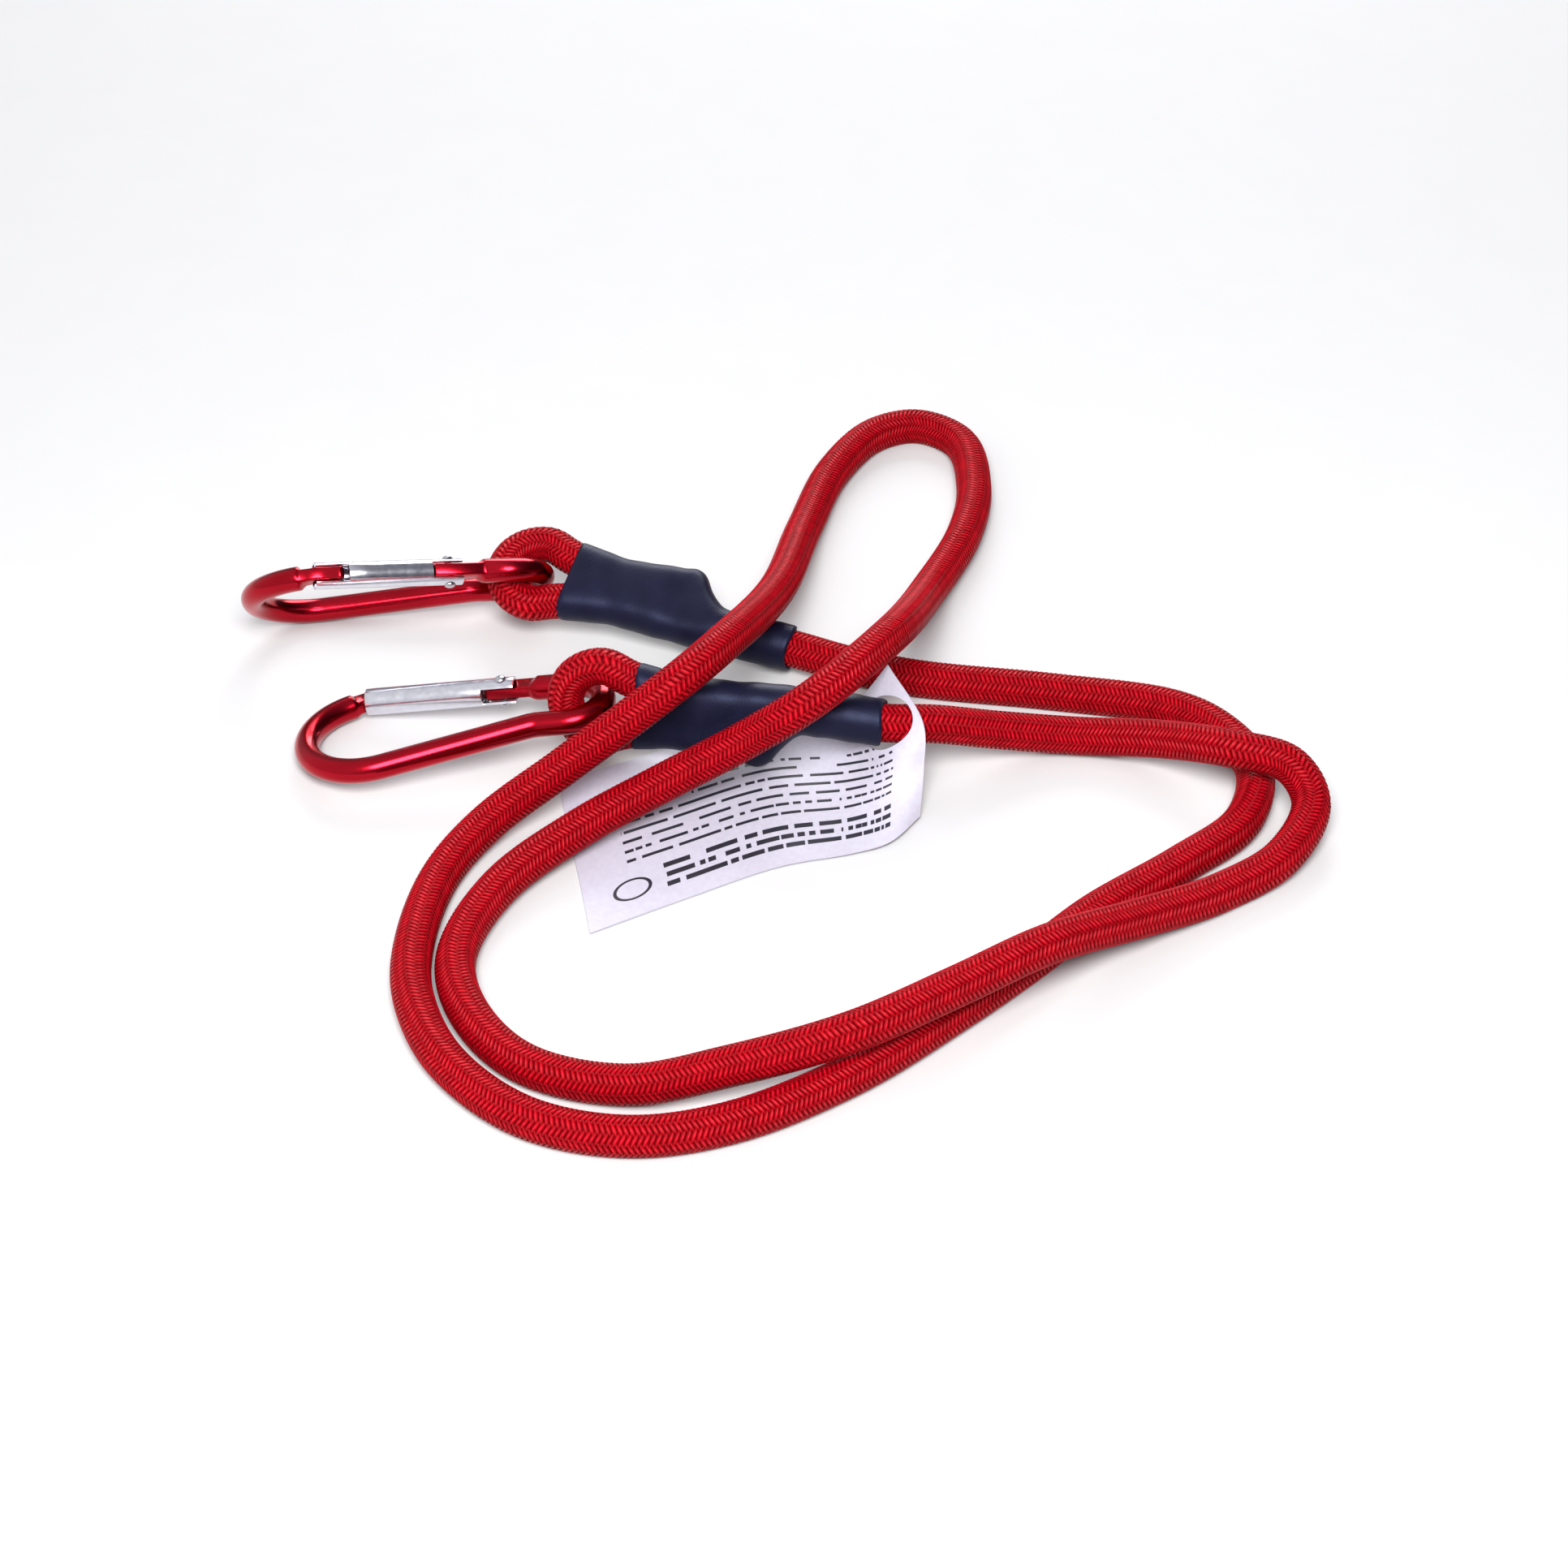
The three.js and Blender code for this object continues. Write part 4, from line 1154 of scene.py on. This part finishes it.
def spun(name, profile, finish, place, axis):
    """A closed solid from rows of height and radius, spun about an axis through a place."""
    t = ring_angles(turned_sides)
    rings = [np.column_stack([r * np.cos(t), r * np.sin(t), np.full(turned_sides, h)]) for h, r in profile]
    points, faces = skin(rings)
    piece = mesh_piece(name, points, faces, finish)
    piece.data.set_sharp_from_angle(angle=math.radians(40))
    piece.data.transform(Matrix.Translation(place) @ standing(axis))
    return turned_out(piece)


rivet_pin = 0.0007
rivet_head = 0.0012
rivet_seat = gate_radius - 0.0001
rivet_profile = [
    (-rivet_seat - 0.00075, 0.0002), (-rivet_seat - 0.0007, 0.0006), (-rivet_seat - 0.0005, 0.0010),
    (-rivet_seat - 0.0002, rivet_head), (-rivet_seat, rivet_head), (-rivet_seat, rivet_pin),
]
rivet_profile += [(-h, r) for h, r in rivet_profile[::-1]]
plunger_radius = 0.00215
plunger_face = tongue_end - 0.0004
plunger_length = 0.0034
plunger_profile = [
    (-plunger_length, 0.0016), (-plunger_length + 0.0003, plunger_radius), (-0.0006, plunger_radius),
    (-0.0002, 0.0019), (0.0, 0.0014),
]
stop_radius = gate_radius - gate_wall / 2
stop_profile = [(0.0, stop_radius), (stop_thickness, stop_radius)]

rivets, plungers, stops = {}, {}, {}
across_gate, along_gate = (0, 0, 1), (1, 0, 0)
turned_pieces = (
    (rivets, "rivet", rivet_profile, hinge_x, across_gate),
    (plungers, "spring_plunger", plunger_profile, plunger_face, along_gate),
    (stops, "gate_stop", stop_profile, gate_start + nose_slot, along_gate),
)
for letter, matrix in carabiners.items():
    for made, name, profile, x, axis in turned_pieces:
        made[letter] = spun(f"{name}_{letter}", profile, plated_steel, (x, 0, 0), axis)
        made[letter].data.transform(matrix)
print("turned pieces:", len(rivets) + len(plungers) + len(stops))

# %% [markdown]
# The gate's spring is a coil of thin wire. Its shape follows a rule, so Geometry Nodes draw it: a spiral
# with a given number of turns, with a round wire swept along it. The tree draws the spiral by itself, so it
# can sit on any line. The spring leaves room for the plunger's travel.

# %% Gate spring
spring_wire = 0.0003
spring_radius = 0.00165
spring_turns = 8
spring_clearance = 0.00015
plunger_travel = 0.0006
spring_start = gate_start + nose_slot + stop_thickness + spring_clearance + spring_wire
spring_end = plunger_face - plunger_length - plunger_travel - spring_clearance - spring_wire


def spring_tree():
    """A coil of round wire. The sizes are inputs of the tree."""
    inputs = [(name, "Float") for name in ("Turns", "Radius", "Length", "Wire")]
    tree, sizes = new_tree("coil_spring", inputs + [("Steel", "Material")])
    link = tree.links.new
    spiral = add(tree, "GeometryNodeCurveSpiral", Resolution=20)
    link(sizes["Turns"], spiral.inputs["Rotations"])
    link(sizes["Radius"], spiral.inputs["Start Radius"])
    link(sizes["Radius"], spiral.inputs["End Radius"])
    link(sizes["Length"], spiral.inputs["Height"])
    ring = add(tree, "GeometryNodeCurvePrimitiveCircle", Resolution=10)
    link(sizes["Wire"], ring.inputs["Radius"])
    wire = add(tree, "GeometryNodeCurveToMesh", Fill_Caps=True)
    link(spiral.outputs["Curve"], wire.inputs["Curve"])
    link(ring.outputs["Curve"], wire.inputs["Profile Curve"])
    real = tree.nodes.new("GeometryNodeRealizeInstances")
    link(wire.outputs["Mesh"], real.inputs["Geometry"])
    end_tree(tree, real.outputs["Geometry"], sizes["Steel"])
    return tree


coil = spring_tree()
any_line = np.array([(0, 0, 0), (1e-3, 0, 0)])


def spring_piece(letter):
    values = {
        "Turns": float(spring_turns), "Radius": spring_radius, "Wire": spring_wire,
        "Length": spring_end - spring_start, "Steel": plated_steel,
    }
    piece = grown(f"coil_spring_{letter}", any_line, coil, values)
    stand = standing(along_gate)
    piece.data.transform(carabiners[letter] @ Matrix.Translation((spring_start, 0, 0)) @ stand)
    piece.data.polygons.foreach_set("use_smooth", [True] * len(piece.data.polygons))
    return turned_out(piece)


springs = {letter: spring_piece(letter) for letter in ends}
print("springs:", spring_turns, "turns over", round(1000 * (spring_end - spring_start), 1), "mm")

# %% [markdown]
# The tag's paper is white with a cool cast and a fine fibre. It carries rows of plain dashes and a ring. They
# are worked out from the sheet's own chart, its UV map, so they bend with the paper.

# %% Paper finish
tag_width = 0.076
tag_depth = 0.047
dash_scale = 51.7
dash_floor = 0.40
ring_x, ring_y = 0.10, 0.17
ring_radius = 0.06
ring_half_line = 0.006


def printed_rows(tree, chart, first, rows, pitch, thick, left, right):
    """Rows of plain dashes: 1 where there is ink, 0 on bare paper."""
    lifted = calc(tree, "DIVIDE", calc(tree, "SUBTRACT", chart["Y"], first), pitch)
    row = calc(tree, "FLOOR", lifted)
    place = tree.nodes.new("ShaderNodeCombineXYZ")
    tree.links.new(chart["X"], place.inputs["X"])
    tree.links.new(row, place.inputs["Y"])
    dashes = calc(tree, "GREATER_THAN", noise(tree, place.outputs["Vector"], dash_scale, 0.0), dash_floor)
    bars = calc(tree, "LESS_THAN", calc(tree, "FRACT", lifted), thick)
    in_block = calc(tree, "COMPARE", row, (rows - 1) / 2, rows / 2 - 0.4)
    in_margins = calc(tree, "COMPARE", chart["X"], (left + right) / 2, (right - left) / 2)
    inked = calc(tree, "MULTIPLY", dashes, bars)
    return calc(tree, "MULTIPLY", inked, calc(tree, "MULTIPLY", in_block, in_margins))


def paper_finish():
    material, tree, shader = new_finish("coated_paper")
    fibre = noise(tree, coordinates(tree), 900.0, 5.0)
    paper = ramp(tree, fibre, (0.2, (0.50, 0.48, 0.57)), (0.85, (0.58, 0.56, 0.65)))
    chart = tree.nodes.new("ShaderNodeSeparateXYZ")
    tree.links.new(coordinates(tree, source="UV"), chart.inputs["Vector"])
    bold = printed_rows(
        tree, chart.outputs, first=0.11, rows=3, pitch=0.062, thick=0.5, left=0.17, right=0.80
    )
    fine = printed_rows(
        tree, chart.outputs, first=0.34, rows=7, pitch=0.062, thick=0.3, left=0.10, right=0.80
    )
    shift = calc(tree, "SUBTRACT", chart.outputs["X"], ring_x)
    aside = calc(tree, "MULTIPLY", shift, tag_width / tag_depth)
    ahead = calc(tree, "SUBTRACT", chart.outputs["Y"], ring_y)
    squares = calc(tree, "ADD", calc(tree, "POWER", aside, 2.0), calc(tree, "POWER", ahead, 2.0))
    away = calc(tree, "SQRT", squares)
    ring = calc(tree, "COMPARE", away, ring_radius, ring_half_line)
    ink = calc(tree, "MAXIMUM", ring, calc(tree, "MAXIMUM", bold, fine))
    mix = add(tree, "ShaderNodeMix", data_type="RGBA")
    tree.links.new(ink, mix.inputs["Factor"])
    tree.links.new(paper, mix.inputs["A"])
    mix.inputs["B"].default_value = (0.02, 0.02, 0.03, 1.0)
    tree.links.new(mix.outputs["Result"], shader.inputs["Base Color"])
    tree.links.new(bump(tree, fibre, 0.00005, 0.3), shader.inputs["Normal"])
    shader.inputs["Roughness"].default_value = 0.45
    return material


coated_paper = paper_finish()
print("finish:", coated_paper.name)

# %% [markdown]
# The tag has a hole and is threaded on the cord at the end of one sleeve. Two strands lie on it, and the
# cord bends its right side up. It is a surface through a few rows of points, the same rows as the solid,
# with a finer grid. Solidify gives it thickness, and a Boolean cuts the hole where the cord passes.

# %% Tag
tag_rows = [
    [(-0.034, -0.059, 0.0004), (-0.0154, -0.0483, 0.0004), (0.0034, -0.0383, 0.0005),
     (0.018, -0.0344, 0.0007), (0.0253, -0.0314, 0.001), (0.0315, -0.0232, 0.0012)],
    [(-0.0367, -0.043, 0.0004), (-0.0179, -0.0329, 0.0005), (0.0017, -0.023, 0.0006),
     (0.0179, -0.0216, 0.002), (0.0258, -0.0206, 0.005), (0.0324, -0.0169, 0.009)],
    [(-0.0397, -0.0269, 0.0005), (-0.0204, -0.0172, 0.0006), (-0.0002, -0.0073, 0.0007),
     (0.0174, -0.0091, 0.004), (0.0261, -0.0141, 0.011), (0.0323, -0.0133, 0.017)],
    [(-0.0424, -0.011, 0.0006), (-0.0228, -0.0014, 0.0006), (-0.0021, 0.0084, 0.0008),
     (0.015, 0.0025, 0.006), (0.021, 0, 0.0155), (0.0252, -0.0002, 0.0225)],
]
tag_steps = 10
tag_thickness = 0.0003
tag_hole = 0.00565


def tag_surface():
    columns = [smooth_curve([row[i] for row in tag_rows], tag_steps) for i in range(len(tag_rows[0]))]
    return [smooth_curve([column[j] for column in columns], tag_steps) for j in range(len(columns[0]))]


def tag_piece(finish):
    lines = tag_surface()
    deep, wide = len(lines), len(lines[0])
    points = np.vstack(lines)
    faces = [
        (r * wide + c, r * wide + c + 1, (r + 1) * wide + c + 1, (r + 1) * wide + c)
        for r in range(deep - 1) for c in range(wide - 1)
    ]
    holder = mesh_piece("tag_grid", points, faces, finish)
    chart = holder.data.uv_layers.new(name="UVMap")
    for loop in holder.data.loops:
        row, column = divmod(loop.vertex_index, wide)
        chart.data[loop.index].uv = (column / (wide - 1), row / (deep - 1))
    sheet = holder.modifiers.new("sheet", "SOLIDIFY")
    sheet.thickness, sheet.offset = tag_thickness, 0
    hole_line = cord_line[(free_end - 2) * curve_steps : (free_end + 1) * curve_steps]
    hole_points, hole_faces = skin(tube_rings(hole_line, [tag_hole] * len(hole_line), 40))
    cutter = turned_out(mesh_piece("tag_hole_cutter", hole_points, hole_faces, finish))
    cut = holder.modifiers.new("hole", "BOOLEAN")
    cut.object, cut.operation, cut.solver = cutter, "DIFFERENCE", "EXACT"
    piece = made_real(holder, "paper_tag")
    bpy.data.objects.remove(cutter)
    piece.data.set_sharp_from_angle(angle=math.radians(50))
    return piece


paper_tag = tag_piece(coated_paper)
print("tag:", len(paper_tag.data.polygons), "faces")

# %% [markdown]
# The stage is a plain pale floor, wide enough that the camera above sees no edge of it.

# %% Floor
floor_half = 3.0


def floor_finish():
    material, tree, shader = new_finish("pale_floor")
    grain = noise(tree, coordinates(tree), 60.0)
    tree.links.new(ramp(tree, grain, (0.0, grey(0.62)), (1.0, grey(0.64))), shader.inputs["Base Color"])
    shader.inputs["Roughness"].default_value = 0.9
    return material


corners = [(x * floor_half, y * floor_half, 0) for x, y in ((-1, -1), (1, -1), (1, 1), (-1, 1))]
floor = mesh_piece("floor", corners, [(0, 1, 2, 3)], floor_finish())
print("floor:", 2 * floor_half, "m wide")

# %% [markdown]
# The room is bright on the left and dark on the right, which is what the bright metal mirrors. A softbox over
# the camera lights every strand along its middle. A low lamp behind the cord whitens the far floor and draws
# a soft shadow towards the camera.

# %% Light
def studio_world():
    """A room whose brightness falls from its left side to its right side."""
    world = bpy.data.worlds.new("studio")
    world.use_nodes = True
    tree = world.node_tree
    where = tree.nodes.new("ShaderNodeTexCoord")
    bright_side = Vector((-0.81, -0.20, 0.55)).normalized()
    facing = add(tree, "ShaderNodeVectorMath", operation="DOT_PRODUCT")
    facing.inputs[1].default_value = bright_side
    tree.links.new(where.outputs["Generated"], facing.inputs[0])
    share = add(tree, "ShaderNodeMapRange", From_Min=-1.0)
    tree.links.new(facing.outputs["Value"], share.inputs["Value"])
    room = ramp(
        tree, share.outputs["Result"],
        (0.35, (0.05, 0.05, 0.07)), (0.60, (0.20, 0.20, 0.23)), (0.85, (0.78, 0.78, 0.82)), (1.0, grey(0.8)),
    )
    tree.links.new(room, tree.nodes["Background"].inputs["Color"])
    return world


def soft_light(name, place, size, power):
    """A round softbox that faces the middle of the cord."""
    lamp = bpy.data.lights.new(name, "AREA")
    lamp.shape, lamp.size, lamp.energy = "DISK", size, power
    box = bpy.data.objects.new(name, lamp)
    box.location = place
    box.rotation_euler = (look_at - Vector(place)).to_track_quat("-Z", "Y").to_euler()
    bpy.context.scene.collection.objects.link(box)


soft_light("softbox", place=(0.0, -0.52, 0.62), size=0.42, power=9.2)
soft_light("back_lamp", place=(0.05, 0.95, 0.50), size=0.60, power=7.0)
bpy.context.scene.world = studio_world()
bpy.context.scene.view_settings.view_transform = "Standard"
print("lamps:", len(bpy.data.lights))

# %% [markdown]
# Every piece rides on a body of the frame and stands for the solid that it replaces. The cord, the sleeves
# and the tag are one body. Each carabiner, gate and plunger moves by its own joint.

# %% Hand the pieces to the frame
def hand_over(piece, body, slot, *nodes):
    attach(piece, body)
    if nodes:
        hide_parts(*nodes)


hand_over(braided_cover, "cord", "braid", "cord_cover")
hand_over(rubber_strands, "cord", "rubber", "rubber_core")
for piece in braid_pieces:
    hand_over(piece, "cord", "braid")
for node, piece in bands.items():
    hand_over(piece, "cord", "steel", node)
hand_over(paper_tag, "cord", "tag", "tag")
for letter in ends:
    hand_over(sleeves[letter], "cord", "sleeve", f"sleeve_{letter}")
    hand_over(frames[letter], f"carabiner_{letter}", "frame", f"frame_{letter}")
    hand_over(gates[letter], f"gate_{letter}", "gate", f"gate_{letter}")
    hand_over(stops[letter], f"gate_{letter}", "steel")
    hand_over(rivets[letter], f"gate_{letter}", "steel", f"hinge_rivet_{letter}")
    hand_over(springs[letter], f"gate_{letter}", "steel", f"gate_spring_{letter}")
    hand_over(plungers[letter], f"plunger_{letter}", "steel", f"plunger_{letter}")
